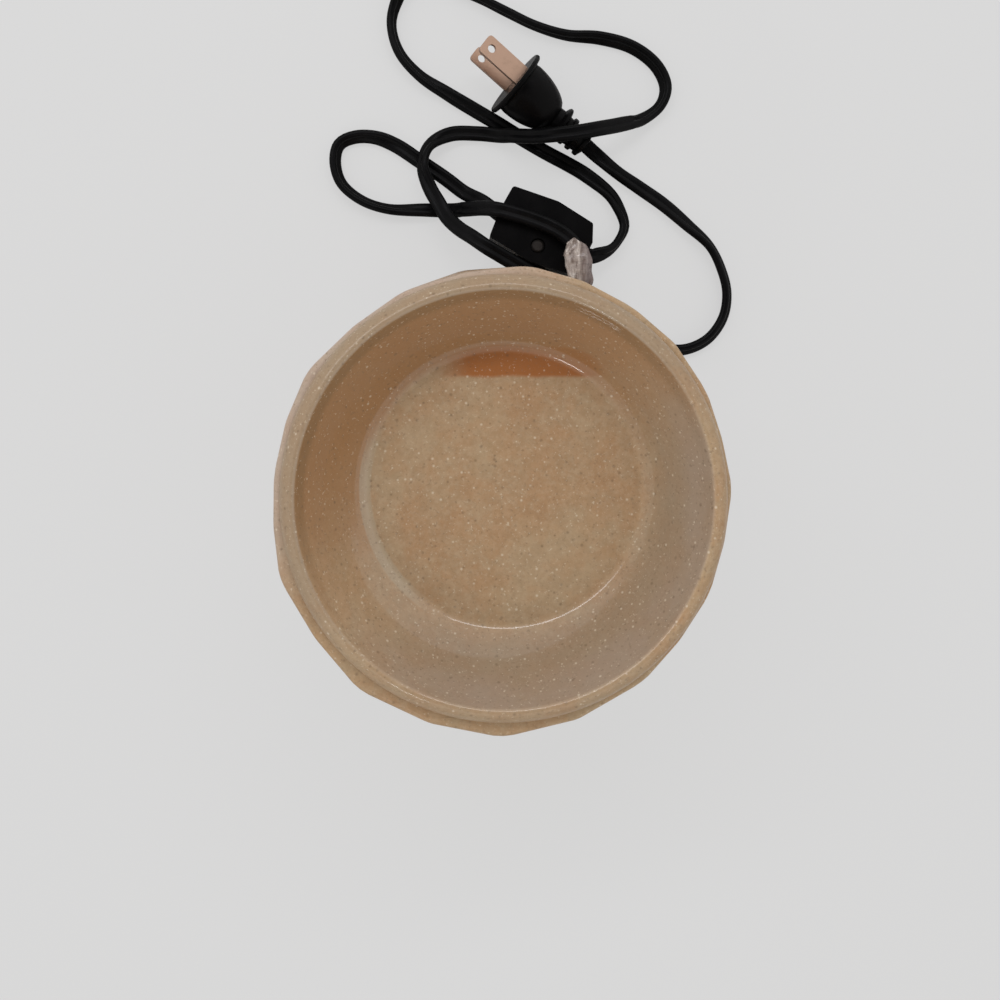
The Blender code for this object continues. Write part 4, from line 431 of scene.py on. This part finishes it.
def dress_nodes():
    """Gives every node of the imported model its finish: plated steel, if it has none here."""
    glaze = speckled_glaze("glaze_outside")
    black = moulded_plastic("black_moulding", (0.0024, 0.0022, 0.0024), 0.30)
    smooth = moulded_plastic("black_lever", (0.004, 0.0038, 0.004), 0.36, 0.25, 0.03)
    plate = moulded_plastic("black_plate", (0.016, 0.0155, 0.016), 0.44, 0.7, 0.10)
    rubber = moulded_plastic("dull_rubber", (0.022, 0.021, 0.021), 0.62, 0.5, 0.08)
    nylon = moulded_plastic("white_nylon", (0.60, 0.58, 0.53), 0.42, 0.6, 0.05)
    brass = worn_metal("blade_brass", (0.50, 0.335, 0.25), 0.24, (0.15, 0.15, 1.0), 0.20)
    steel = worn_metal("plated_steel", (0.56, 0.56, 0.57), 0.30, (0.3, 1.0, 1.0), 0.18)
    sheet = worn_metal("galvanised_sheet", (0.52, 0.53, 0.54), 0.36, (0.1, 1.0, 1.0), 0.35)
    # The switch's screw, in a dark metal
    dark_screw_metal = worn_metal("dark_switch_screw", (0.035, 0.031, 0.029), 0.42, (1.0, 1.0, 1.0), 0.2)
    fired = fired_steatite("fired_steatite")
    glass = clear_glass("capsule_glass")
    lens = clear_glass("dimpled_lens", dimples=True)
    mirror = mirrored_glass("mirrored_reflector")
    jacket = lead_jacket("lead_jacket")
    core = moulded_plastic("core_insulation", (0.014, 0.014, 0.015), 0.4, 0.4, 0.03)
    wrapper = crinkled_wrapper("crinkled_wrapper")
    finishes = {
        "body_shell": glaze, "dish": glaze, "base_plate": plate, "cord_clamp": plate,
        "cord_bushing": rubber, "foot_front": rubber, "foot_left": rubber, "foot_right": rubber,
        "switch_upper": black, "switch_lower": black, "switch_wheel": smooth,
        "plug_body": black, "plug_blade_upper": brass, "plug_blade_lower": brass,
        "switch_contact_fixed": brass, "switch_contact_sprung": brass,
        "holder_contact_left": brass, "holder_contact_right": brass, "lamp_bracket": sheet,
        "lampholder": fired, "bulb_base": fired, "bulb_capsule": glass, "bulb_lens": lens,
        "bulb_reflector": mirror, "switch_screw": dark_screw_metal,
        "cord_to_switch": jacket, "cord_to_plug": jacket,
        "lead_line": core, "lead_neutral": core, "cord_wrap": wrapper,
        "screw_anchor_back": nylon, "screw_anchor_left": nylon, "screw_anchor_right": nylon,
    }
    for name, item in nodes.items():
        chosen = finishes.get(name, steel)
        for slot in item.material_slots:
            slot.material = chosen
    return finishes


# The lead's route: x, y and z in millimetres, then how far it stands on its edge, from 0 to 1

ROUTE_TO_SWITCH = (
    (35.9, 74.8, 16.9, 0.0), (34.9, 79.3, 18.5, 0.0), (33.9, 84.3, 18.7, 0.0),
    (31.7, 89.1, 18.7, 0.0), (27.7, 92.9, 18.5, 0.0), (22.3, 96, 18.1, 0.0),
    (16.8, 98.3, 17.8, 0.0), (11.3, 100.1, 17.6, 0.0), (2.5, 102.4, 17.6, 0.0),
    (-3.5, 103.7, 13.6, 0.0), (-9.7, 104.5, 7.4, 0.0), (-17.2, 105.1, 3.2, 0.1),
    (-26.7, 105.2, 2.16, 0.3), (-40.1, 105.4, 2.76, 0.6), (-50.9, 108.7, 2.91, 0.66),
    (-59.2, 115.3, 3.02, 0.66), (-62.1, 123.7, 3.02, 0.66), (-60.6, 131.2, 2.91, 0.66),
    (-54.2, 134.4, 2.76, 0.6), (-45.7, 134.2, 2.62, 0.5), (-37.2, 130.9, 1.92, 0.2),
    (-27.7, 124.7, 1.6, 0.0), (-18.2, 118.3, 1.8, 0.0), (-11.1, 112.9, 3.2, 0.0),
    (-4.3, 108.6, 6, 0.0),
)
ROUTE_TO_PLUG = (
    (47.5, 88.3, 6, 0.75), (51.8, 93.0, 4.2, 0.85), (54.1, 98.9, 3.06, 0.66),
    (51.7, 106.2, 2.42, 0.45), (47.5, 112.4, 2.2, 0.3), (38.7, 119.5, 1.51, 0.0),
    (31.3, 123.9, 1.51, 0.0), (22.3, 128.7, 1.51, 0.0), (12.7, 134.3, 1.51, 0.0),
    (3, 140.3, 1.51, 0.0), (-7.2, 146.3, 1.6, 0.0), (-17.5, 152.4, 1.92, 0.2),
    (-28.3, 159.3, 2.62, 0.5), (-36.5, 168.8, 3.02, 0.66), (-39.5, 180.4, 3.4, 0.8),
    (-36.2, 191, 5.6, 0.6), (-29, 202, 7.8, 0.2), (-18, 213.5, 5.8, 0.2),
    (-5, 226, 2.76, 0.6), (4, 240, 3.02, 0.66), (5.5, 257, 3.06, 0.66),
    (-3.5, 272, 3.06, 0.66), (-20, 281.5, 3.06, 0.66), (-39, 281, 3.06, 0.66),
    (-55.5, 271.5, 3.06, 0.66), (-64.5, 255, 3.06, 0.66), (-64, 236, 3.02, 0.66),
    (-55, 219, 2.62, 0.5), (-42.5, 207.5, 1.73, 0.1), (-29.5, 200.5, 1.51, 0.0),
    (-16.0, 195.4, 2.42, 0.7), (-4.1, 190.1, 2.91, 1.0), (7.0, 184.5, 2.91, 1.0),
    (18.5, 179.0, 2.91, 1.0), (30.9, 175.3, 2.91, 0.9), (44.3, 174.2, 3.02, 0.66),
    (56.8, 170.7, 3.06, 0.66), (66.3, 163.7, 3.06, 0.66), (70.6, 154.9, 3.06, 0.66),
    (68.3, 146.9, 3.02, 0.66), (60.8, 141.3, 4.6, 0.4), (51.3, 137.5, 9.6, 0.0),
    (42.3, 134.4, 15.4, 0.0), (33.3, 132.4, 17.2, 0.0), (24.3, 131.7, 16.4, 0.0),
    (15.3, 132.6, 10.8, 0.0), (5.8, 134.6, 5.4, 0.0), (-4.7, 136.0, 3.9, 0.0),
    (-15.6, 135.5, 4.8, 0.0), (-24.3, 130.5, 5.6, 0.5), (-26.9, 122, 6.6, 0.6),
    (-24.1, 113.3, 6.8, 0.2), (-20.3, 106.6, 7.4, 0.0), (-17, 100.9, 9, 0.0),
    (-12.4, 96.0, 12, 0.0), (-6.9, 91.8, 15.8, 0.0), (-1.5, 87.8, 17.4, 0.0),
    (6.7, 83.1, 16.3, 0.0), (13.7, 79.2, 14.9, 0.0), (21.3, 75.8, 10.8, 0.0),
    (27.9, 72.5, 5.4, 0.0), (34.3, 68.7, 1.8, 0.1), (45.3, 62.7, 2.42, 0.4),
    (56.8, 54.7, 2.62, 0.5), (66.8, 49.9, 2.76, 0.6), (77.8, 48.9, 2.91, 0.66),
    (87.4, 53.1, 3.06, 0.66), (93.6, 61.5, 3.06, 0.66), (95.3, 71.3, 3.06, 0.66),
    (93.2, 80.9, 3.06, 0.66), (88.3, 90.7, 2.91, 0.66), (79.5, 99.1, 2.42, 0.4),
    (70.1, 107.3, 1.92, 0.2), (60.4, 114.1, 2.2, 0.2), (50.6, 120.8, 3.6, 0.3),
)

LEAD_WIDTH = 6.0 * MM
LEAD_THICK = 2.9 * MM
LEAD_EXIT_ANGLE = 62.0  # degrees from +X
LEAD_EXIT_HEIGHT = 14.0 * MM
LEAD_INNER_END = 33.0 * MM  # from the axis
BUSHING_END = 78.0 * MM  # from the axis, a little past its tail
ROUTE_STEP = 1.6 * MM
LYING_BELOW = 3.2 * MM  # a point of the route under that height lies on the table
SWITCH_TUCK = 5.0 * MM  # how far the lead runs into the switch
SWITCH_STRAIGHT = 3.0 * MM  # and how far it runs straight outside it
PLUG_LEAD_END = 16.0 * MM  # from the plug's face
PLUG_STRAIGHT = 41.0 * MM  # from the plug's face to where the lead begins to bend

SWITCH_LEFT, SWITCH_RIGHT = 19.4 * MM, 18.8 * MM  # from its middle to its ends
SWITCH_LEAD_HEIGHT = 7.5 * MM
SWITCH_SPLAY = 14.0  # degrees that the lead turns away from its long axis


def polar(radius, angle, height=0.0):
    """A point by its distance from the axis, its angle from +X in degrees and its height."""
    turn = math.radians(angle)
    return Vector((radius * math.cos(turn), radius * math.sin(turn), height))


SWITCH = (Matrix.Translation((20.9 * MM, 94.3 * MM, 0.2 * MM))
          @ Matrix.Rotation(math.radians(-25.2), 4, "Z"))
PLUG = (Matrix.Translation((9.9 * MM, 153.3 * MM, 14.1 * MM))
        @ Matrix.Rotation(math.radians(-38.0), 4, "Z")
        @ Matrix.Rotation(math.radians(14.3), 4, "Y")
        @ Matrix.Rotation(math.radians(-8.0), 4, "X"))


def switch_end(side):
    """Where the lead meets one end of the switch, with +X along the lead."""
    reach = SWITCH_LEFT if side < 0 else SWITCH_RIGHT
    return (SWITCH @ Matrix.Translation((side * reach, 0.0, SWITCH_LEAD_HEIGHT))
            @ Matrix.Rotation(math.radians(side * SWITCH_SPLAY), 4, "Z"))


def lying_flat(point):
    """A point of the route at which the lead isn't turned on its edge."""
    return Vector((*point, 0.0))


def smooth_route(points, step):
    """Points about a step apart on the smooth curve through the given ones."""
    fine = []
    padded = [points[0] * 2 - points[1], *points, points[-1] * 2 - points[-2]]
    for a, b, c, d in zip(padded, padded[1:], padded[2:], padded[3:]):
        count = max(2, round((c - b).xyz.length / step))
        for k in range(count):
            t = k / count
            fine.append(0.5 * (2 * b + (c - a) * t + (2 * a - 5 * b + 4 * c - d) * t * t
                               + (3 * b - a - 3 * c + d) * t ** 3))
    fine.append(points[-1])
    return fine


def lead_outline():
    """The outline of two round conductors with a groove between them."""
    radius = LEAD_THICK / 2
    middle = LEAD_WIDTH / 2 - radius
    right = [(middle + radius * math.cos(a), radius * math.sin(a))
             for a in (math.radians(114 * k / 5) for k in range(6))]
    top = right + [(0.0, radius * 0.62)] + [(-x, y) for x, y in reversed(right)]
    return top + [(-x, -y) for x, y in top[1:-1]]


def lying_height(edge):
    """How high the lead's middle is over the table on which it lies."""
    turn = edge * math.pi / 2
    return max(abs(x) * math.sin(turn) + abs(y) * math.cos(turn) for x, y in lead_outline())


def flat_lead(name, head, route, tail):
    """The flat lead as one mesh tube. Returns it and the points that it follows."""
    points = [head[0]] + smooth_route([head[1], *route, tail[0]], ROUTE_STEP) + [tail[1]]
    for at in points:
        low = lying_height(at.w)
        lift = min(1.0, max(0.0, at.z / LYING_BELOW - 1.0))
        at.z = low + (max(at.z, low) - low) * lift
    outline = lead_outline()
    section = bpy.data.curves.new("section", "CURVE")
    section.dimensions = "2D"
    section.fill_mode = "NONE"
    line = section.splines.new("POLY")
    line.points.add(len(outline) - 1)
    for point, (x, y) in zip(line.points, reversed(outline)):
        point.co = (x, y, 0.0, 1.0)
    line.use_cyclic_u = True
    profile = bpy.data.objects.new("section", section)
    curve = bpy.data.curves.new(name, "CURVE")
    curve.dimensions = "3D"
    curve.twist_mode = "Z_UP"
    curve.bevel_mode = "OBJECT"
    curve.bevel_object = profile
    curve.use_fill_caps = True
    line = curve.splines.new("POLY")
    line.points.add(len(points) - 1)
    for point, at in zip(line.points, points):
        point.co = (*at.xyz, 1.0)
        point.tilt = at.w * math.pi / 2
    tube = bpy.data.objects.new(name, curve)
    mesh = evaluated(tube)
    bpy.data.objects.remove(tube)
    bpy.data.objects.remove(profile)
    return piece(name, mesh), [at.xyz for at in points]


def evaluated(item):
    """The mesh of an object that is in no collection, once its curve is worked out."""
    objects = bpy.context.scene.collection.objects
    objects.link(item)
    bpy.context.view_layer.update()
    graph = bpy.context.evaluated_depsgraph_get()
    mesh = bpy.data.meshes.new_from_object(item.evaluated_get(graph), depsgraph=graph)
    objects.unlink(item)
    return mesh


def piece(name, mesh, finish=None, smooth=40.0):
    """A new object at the origin, smooth but for its sharp edges."""
    mesh.name = name
    item = bpy.data.objects.new(name, mesh)
    bpy.context.scene.collection.objects.link(item)
    if finish:
        mesh.materials.clear()
        mesh.materials.append(finish)
    mesh.shade_smooth()
    if smooth:
        mesh.set_sharp_from_angle(angle=math.radians(smooth))
    return item


def from_bmesh(name, shape, finish=None, smooth=40.0, place=None):
    """A new object from a bmesh, which is freed."""
    mesh = bpy.data.meshes.new(name)
    if place:
        bmesh.ops.transform(shape, matrix=place, verts=shape.verts)
    shape.to_mesh(mesh)
    shape.free()
    return piece(name, mesh, finish, smooth)


def turned(name, profile, finish, steps, place=None, smooth=40.0):
    """A profile of (radius, height) points from axis to axis, spun about Z."""
    shape = bmesh.new()
    points = [shape.verts.new((r, 0.0, z)) for r, z in profile]
    edges = [shape.edges.new(pair) for pair in zip(points, points[1:])]
    bmesh.ops.spin(shape, geom=points + edges, cent=(0, 0, 0), axis=(0, 0, 1),
                   angle=math.tau, steps=steps, use_merge=True)
    bmesh.ops.remove_doubles(shape, verts=shape.verts, dist=0.001 * MM)
    bmesh.ops.recalc_face_normals(shape, faces=shape.faces)
    return from_bmesh(name, shape, finish, smooth, place)


def softened(profile, rounds=2):
    """Cuts the corners of an open profile, keeping its ends."""
    for _ in range(rounds):
        made = [profile[0]]
        for (r0, z0), (r1, z1) in zip(profile, profile[1:]):
            made.append((r0 * 0.75 + r1 * 0.25, z0 * 0.75 + z1 * 0.25))
            made.append((r0 * 0.25 + r1 * 0.75, z0 * 0.25 + z1 * 0.75))
        made.append(profile[-1])
        profile = made
    return profile


# The pot and the dish

POT_LOW = 1.6 * MM
POT_RISE = 117.4 * MM
FACET_ROWS = 5
FACET_ROUND = 3.0 * MM  # how far the glaze rounds the edges of the facets
POT_FULLER = 1.0085
POT_SHIFT = (0.24 * MM, -0.29 * MM)
# Places, in millimetres, at which the wall swells or sinks, how far around them, and how much
POT_SWELLS = (((-8, -66), 15, 0.009), ((-13, 65), 11, -0.015), ((8, 66), 9, 0.007))

# The dish's section is in millimetres
DISH_CREST = 125.0
DISH_MOUTH = 57.4
DISH_FLOOR = 100.0
DISH_FLOOR_FLAT = 40.2  # the radius up to which it is flat
DISH_WALL_FOOT = (42.6, 100.4)  # radius and height
DISH_WALL_RUN = (14.8, 20.6)  # outwards and up
DISH_FLOOR_WIDER = 0.012  # as a share
CORNER_STEPS = 10
CORNER_STEP = 0.3
CORNER_SLOPE = 44.0  # degrees, at its upper end


def on_outer_corner(v):
    """Whether a vertex of the pot is a corner of the facets on its outer wall."""
    rows = [POT_LOW + POT_RISE * row / FACET_ROWS for row in range(FACET_ROWS + 1)]
    near = min(abs(v.co.z - row) for row in rows)
    outer = 50 * MM if v.co.z < 10 * MM else 61 * MM
    return near < 0.05 * MM and v.co.xy.length > outer


def make_pot(glaze):
    """The CAD pot with the edges between its facets rounded over, as glaze leaves them."""
    shape = bmesh.new()
    shape.from_mesh(nodes["body_shell"].data)
    bmesh.ops.remove_doubles(shape, verts=shape.verts, dist=0.002 * MM)
    steep = [e for e in shape.edges if all(abs(f.normal.z) < 0.95 for f in e.link_faces)]
    bmesh.ops.dissolve_limit(shape, angle_limit=math.radians(0.6), verts=[], edges=steep)
    edges = [e for e in shape.edges
             if all(on_outer_corner(v) for v in e.verts) and len(e.link_faces) == 2
             and e.calc_face_angle(0.0) > math.radians(3)]
    bmesh.ops.bevel(shape, geom=edges, offset=FACET_ROUND, offset_type="OFFSET", segments=4,
                    profile=0.5, affect="EDGES", material=-1, clamp_overlap=True)
    bmesh.ops.remove_doubles(shape, verts=shape.verts, dist=0.03 * MM)
    bmesh.ops.dissolve_degenerate(shape, dist=0.02 * MM, edges=shape.edges)
    bmesh.ops.triangulate(shape, faces=shape.faces)
    bmesh.ops.recalc_face_normals(shape, faces=shape.faces)
    for v in shape.verts:
        fuller = POT_FULLER + sum(
            rise * math.exp(-((v.co.xy - Vector(at) * MM).length / (reach * MM)) ** 2)
            for at, reach, rise in POT_SWELLS)
        v.co.x = v.co.x * fuller + POT_SHIFT[0]
        v.co.y = v.co.y * fuller + POT_SHIFT[1]
    return from_bmesh("pot", shape, glaze, 24.0)


def make_dish(glaze):
    """The dish, spun from its section, with its floor a little off the axis."""
    floor = [(r, DISH_FLOOR) for r in (0.0, 20.0, 36.0, DISH_FLOOR_FLAT)]
    for k in range(1, CORNER_STEPS + 1):
        r, z = floor[-1]
        slope = math.radians(CORNER_SLOPE * (k - 0.5) / CORNER_STEPS)
        floor.append((r + CORNER_STEP, z + CORNER_STEP * math.tan(slope)))
    wall = []
    for k in range(2, 15):
        share = k / 16
        rise = 0.68 * share + 0.32 * share ** 3
        wall.append((DISH_WALL_FOOT[0] + DISH_WALL_RUN[0] * share,
                     DISH_WALL_FOOT[1] + DISH_WALL_RUN[1] * rise))
    lip = [(DISH_MOUTH, 120.6), (DISH_MOUTH + 0.95, 123.4), (59.1, 124.65), (60.2, DISH_CREST),
           (61.4, 124.5), (62.7, 123.2), (63.6, 121.5)]
    under = [(64.0, 120.3), (63.9, 119.5), (62.8, 119.3), (59.8, 119.3), (59.8, 116.6)]
    outside = [(58.9, 114.6), (55.8, 108.4), (51.6, 102.6), (46.8, 98.6), (42.8, 96.6),
               (40.6, 96.0), (20.0, 96.0), (0.0, 96.0)]
    profile = softened(floor + wall + lip + under[:3], 2) + under[3:4] + softened(
        under[3:] + outside, 2)[1:]
    dish = turned("wax_dish_glazed", [(r * MM, z * MM) for r, z in profile], glaze, 160)
    for v in dish.data.vertices:
        low = min(1.0, max(0.0, (DRIFT_TOP - v.co.z) / (DRIFT_TOP - DRIFT_END)))
        low = low * low * (3 - 2 * low)
        wider = 1 + DISH_FLOOR_WIDER * low
        v.co.x = v.co.x * wider + FLOOR_DRIFT * low
        v.co.y = v.co.y * wider + FLOOR_DRIFT * low
    return dish


# The switch, the plug and the wrapper

def make_plug(black):
    """The moulded plug on its side: a face disc, a domed grip and a ribbed strain relief."""
    profile = [(0.0, 38.0), (3.2, 38.0), (4.1, 37.6)]
    for k in reversed(range(3)):
        low = 26.7 + 3.75 * k
        size = 4.55 + 0.28 * (2 - k)
        profile += [(size - 0.25, low + 3.3), (size + 0.72, low + 2.95), (size + 0.82, low + 2.3),
                    (size + 0.78, low + 1.5), (size - 0.25, low + 1.1)]
    profile += [(4.9, 26.2), (6.9, 25.5), (7.4, 25.1), (7.4, 24.3), (6.9, 23.9), (5.2, 23.2)]
    for k in range(14):
        share = 1 - k / 13
        profile.append((5.0 + 6.0 * (1 - share ** 2.1) ** 0.66, 4.0 + 17.0 * share))
    profile += [(10.8, 3.2), (10.9, 2.6), (11.8, 2.2), (13.2, 1.9), (13.75, 1.35), (13.75, 0.6),
                (13.3, 0.05), (0.0, 0.0)]
    lying = (Matrix.Translation((-1.0 * MM, -0.5 * MM, 0.0)) @ PLUG
             @ Matrix.Rotation(math.pi / 2, 4, "Y"))
    return turned("plug_moulding", [(r * MM, z * MM) for r, z in profile], black, 72, lying, 32.0)


WRAP_START = 50.0 * MM  # along the lead
WRAP_LENGTH = 18.0 * MM
WRAP_PITCH = 0.6 * MM  # between its rings
WRAP_SHIFT = 1.1 * MM  # towards -X, at its start
WRAP_WALL = 0.25 * MM
WRAP_SQUARE = 0.6  # under 1, its section is squarer than an ellipse
WRAP_TAPER_SHARE = 0.22  # the share of its length over which it gets narrower
# In millimetres: its reach to each side, what half-way adds to that and its end takes off, its
# reach up and down, and the least that its folds leave of the way up
WRAP_HALF_WIDTH, WRAP_SWELL, WRAP_TAPER = 4.3, 0.7, 2.4
WRAP_ABOVE, WRAP_BELOW, WRAP_LEAST = 3.1, 2.5, 2.0


def evenly_along(points, start, pitch, count):
    """Points on a line through the given ones, that far apart and one more than the count."""
    walked, made = 0.0, []
    for a, b in zip(points, points[1:]):
        part = (b - a).length
        while len(made) <= count and start + len(made) * pitch <= walked + part:
            made.append(a.lerp(b, (start + len(made) * pitch - walked) / part))
        walked += part
    return made


def make_wrapper(points, finish):
    """A blank plastic sleeve round the lead, pinched and creased."""
    count = round(WRAP_LENGTH / WRAP_PITCH)
    stretch = evenly_along(points, WRAP_START, WRAP_PITCH, count)
    shape = bmesh.new()
    rings = []
    for i, at in enumerate(stretch):
        ahead = (stretch[min(i + 2, count)] - stretch[max(i - 2, 0)]).normalized()
        side = ahead.cross(Vector((0, 0, 1))).normalized()
        up = side.cross(ahead)
        turn = Matrix((side, up, ahead)).transposed().to_4x4()
        ring = bmesh.ops.create_circle(shape, cap_ends=False, segments=40, radius=1.0)["verts"]
        share = i / count
        for v in ring:
            angle = math.atan2(v.co.y, v.co.x)
            across = math.copysign(abs(math.cos(angle)) ** WRAP_SQUARE, math.cos(angle))
            above = math.copysign(abs(math.sin(angle)) ** WRAP_SQUARE, math.sin(angle))
            fold = noise.noise(Vector((math.cos(angle) * 2.2, math.sin(angle) * 2.2, i * 0.17)))
            ridge = abs(noise.noise(Vector((angle * 1.7, i * 0.29, 3.0))))
            taper = max(0.0, share - (1 - WRAP_TAPER_SHARE)) / WRAP_TAPER_SHARE
            wide = (WRAP_HALF_WIDTH + WRAP_SWELL * math.sin(math.pi * share)
                    - WRAP_TAPER * taper + 0.5 * fold) * MM
            high = WRAP_ABOVE + 0.6 * fold - 1.5 * ridge if above > 0 else WRAP_BELOW
            v.co = (at + side * across * wide + up * above * max(high, WRAP_LEAST) * MM
                    - Vector((WRAP_SHIFT * (1 - 0.4 * share), 0.0, 0.0)))
        rings.append(ring)
    for low, high in zip(rings, rings[1:]):
        near = set(low + high)
        edges = {e for v in near for e in v.link_edges if e.other_vert(v) in near}
        loops = [e for e in edges
                 if {e.verts[0] in low, e.verts[1] in low} != {True, False}]
        bmesh.ops.bridge_loops(shape, edges=loops)
    bmesh.ops.recalc_face_normals(shape, faces=shape.faces)
    sleeve = from_bmesh("cord_wrapper", shape, finish, 50.0)
    wall = sleeve.modifiers.new("Thickness", "SOLIDIFY")
    wall.thickness = WRAP_WALL
    wall.offset = -1.0
    return sleeve


def route_points(route):
    return [Vector((x * MM, y * MM, z * MM, edge)) for x, y, z, edge in route]


def make_cords(finishes):
    """Both stretches of the lead, each with the points that it follows."""
    head = [lying_flat(polar(r, LEAD_EXIT_ANGLE, LEAD_EXIT_HEIGHT))
            for r in (LEAD_INNER_END, BUSHING_END)]
    tail = [lying_flat(switch_end(-1) @ Vector((-x, 0.0, 0.0)))
            for x in (SWITCH_STRAIGHT, -SWITCH_TUCK)]
    first, first_path = flat_lead("lead_to_switch", head, route_points(ROUTE_TO_SWITCH), tail)
    head = [lying_flat(switch_end(1) @ Vector((x, 0.0, 0.0)))
            for x in (-SWITCH_TUCK, SWITCH_STRAIGHT)]
    tail = [lying_flat(PLUG @ Vector((x, 0.0, 0.0))) for x in (PLUG_STRAIGHT, PLUG_LEAD_END)]
    second, second_path = flat_lead("lead_to_plug", head, route_points(ROUTE_TO_PLUG), tail)
    for item, node in ((first, "cord_to_switch"), (second, "cord_to_plug")):
        item.data.materials.clear()
        item.data.materials.append(finishes["cord_to_plug"])
        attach(item, "warmer_body")
        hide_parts(node)
    return (first, first_path), (second, second_path)


# The room

FLOOR_HALF_WIDTH = 3.0
FLOOR_LEVEL = -0.05 * MM
FLOOR_GLOW = 0.708  # what the camera sees of it, next to what light leaves on it
FLOOR_GREY = 0.66
GLOW_SHARE = 0.78
ROOM_SEEN = 0.70
ROOM_TINT = (1.0, 0.985, 0.965, 1.0)
DIM_FROM, DIM_TO = 0.78, 0.97  # the room gets darker between these sines of the elevation
ROOM_ROUND, ROOM_OVERHEAD = 0.92, 0.10  # how bright it is below them and above them
LIGHTS_AIM = (0.0, 0.0, 110.0 * MM)
# Name, azimuth and elevation in degrees, distance, the two sides, power and colour
LIGHTS = (
    ("window", 105.0, 50.0, 0.85, (1.05, 0.12), 2.9, (0.97, 0.96, 1.0)),
    ("left_pane", 251.0, 40.0, 0.80, (0.07, 0.04), 0.28, (1.0, 1.0, 1.0)),
    ("right_pane", 245.0, 40.0, 0.80, (0.05, 0.04), 0.20, (1.0, 1.0, 1.0)),
)


def grey(level):
    return (level, level, level, 1.0)


def make_floor():
    """A floor that is lit by the lamps only in part, so that its shadows stay faint."""
    shape = bmesh.new()
    bmesh.ops.create_grid(shape, x_segments=2, y_segments=2, size=FLOOR_HALF_WIDTH)
    bmesh.ops.translate(shape, verts=shape.verts, vec=(0.0, 0.0, FLOOR_LEVEL))
    floor = from_bmesh("floor", shape, None, None)
    made = bpy.data.materials.new("pale_floor")
    made.use_nodes = True
    tree = made.node_tree
    tree.nodes.clear()
    out = tree.nodes.new("ShaderNodeOutputMaterial")
    mix = tree.nodes.new("ShaderNodeMixShader")
    glow = tree.nodes.new("ShaderNodeEmission")
    glow.inputs["Color"].default_value = grey(FLOOR_GLOW)
    dull = tree.nodes.new("ShaderNodeBsdfDiffuse")
    dull.inputs["Color"].default_value = grey(FLOOR_GREY)
    ray = tree.nodes.new("ShaderNodeLightPath")
    share = tree.nodes.new("ShaderNodeMath")
    share.operation = "MULTIPLY"
    share.inputs[1].default_value = GLOW_SHARE
    tree.links.new(ray.outputs["Is Camera Ray"], share.inputs[0])
    tree.links.new(share.outputs[0], mix.inputs[0])
    tree.links.new(dull.outputs[0], mix.inputs[1])
    tree.links.new(glow.outputs[0], mix.inputs[2])
    tree.links.new(mix.outputs[0], out.inputs["Surface"])
    floor.data.materials.append(made)


def around(azimuth, elevation, distance):
    """A place round the point that the lights are turned to."""
    level = distance * math.cos(math.radians(elevation))
    rise = distance * math.sin(math.radians(elevation))
    return tuple(polar(level, azimuth, LIGHTS_AIM[2] + rise))


def soft_light(name, place, size, power, colour):
    data = bpy.data.lights.new(name, "AREA")
    data.shape = "RECTANGLE"
    data.size, data.size_y = size
    data.energy = power
    data.color = colour
    light = bpy.data.objects.new(name, data)
    light.location = place
    aim = Vector(LIGHTS_AIM) - Vector(place)
    light.rotation_euler = aim.to_track_quat("-Z", "Y").to_euler()
    bpy.context.scene.collection.objects.link(light)


def light_room():
    """A room that is darker overhead than round about, and the same pale grey to the camera."""
    world = bpy.data.worlds.new("room")
    bpy.context.scene.world = world
    world.use_nodes = True
    tree = world.node_tree
    lit = tree.nodes["Background"]
    seen = tree.nodes.new("ShaderNodeBackground")
    seen.inputs["Color"].default_value = grey(ROOM_SEEN)
    place = tree.nodes.new("ShaderNodeTexCoord")
    split = tree.nodes.new("ShaderNodeSeparateXYZ")
    height = tree.nodes.new("ShaderNodeMapRange")
    height.interpolation_type = "SMOOTHSTEP"
    height.inputs["From Min"].default_value = DIM_FROM
    height.inputs["From Max"].default_value = DIM_TO
    height.inputs["To Min"].default_value = ROOM_ROUND
    height.inputs["To Max"].default_value = ROOM_OVERHEAD
    ray = tree.nodes.new("ShaderNodeLightPath")
    mix = tree.nodes.new("ShaderNodeMixShader")
    tree.links.new(place.outputs["Generated"], split.inputs[0])
    tree.links.new(split.outputs["Z"], height.inputs["Value"])
    tree.links.new(height.outputs["Result"], lit.inputs["Strength"])
    lit.inputs["Color"].default_value = ROOM_TINT
    tree.links.new(ray.outputs["Is Camera Ray"], mix.inputs[0])
    tree.links.new(lit.outputs[0], mix.inputs[1])
    tree.links.new(seen.outputs[0], mix.inputs[2])
    tree.links.new(mix.outputs[0], tree.nodes["World Output"].inputs["Surface"])
    for name, azimuth, elevation, distance, size, power, colour in LIGHTS:
        soft_light(name, around(azimuth, elevation, distance), size, power, colour)


place_camera()
finishes = dress_nodes()
leads = make_cords(finishes)
pot = make_pot(finishes["body_shell"])
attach(pot, "warmer_body")
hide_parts("body_shell")
dish = make_dish(speckled_glaze("glaze_inside", inside=True))
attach(dish, "wax_dish")
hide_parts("dish")
plug = make_plug(finishes["plug_body"])
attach(plug, "warmer_body")
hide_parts("plug_body")
wrapper = make_wrapper(leads[0][1], finishes["cord_wrap"])
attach(wrapper, "warmer_body")
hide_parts("cord_wrap")
make_floor()
light_room()
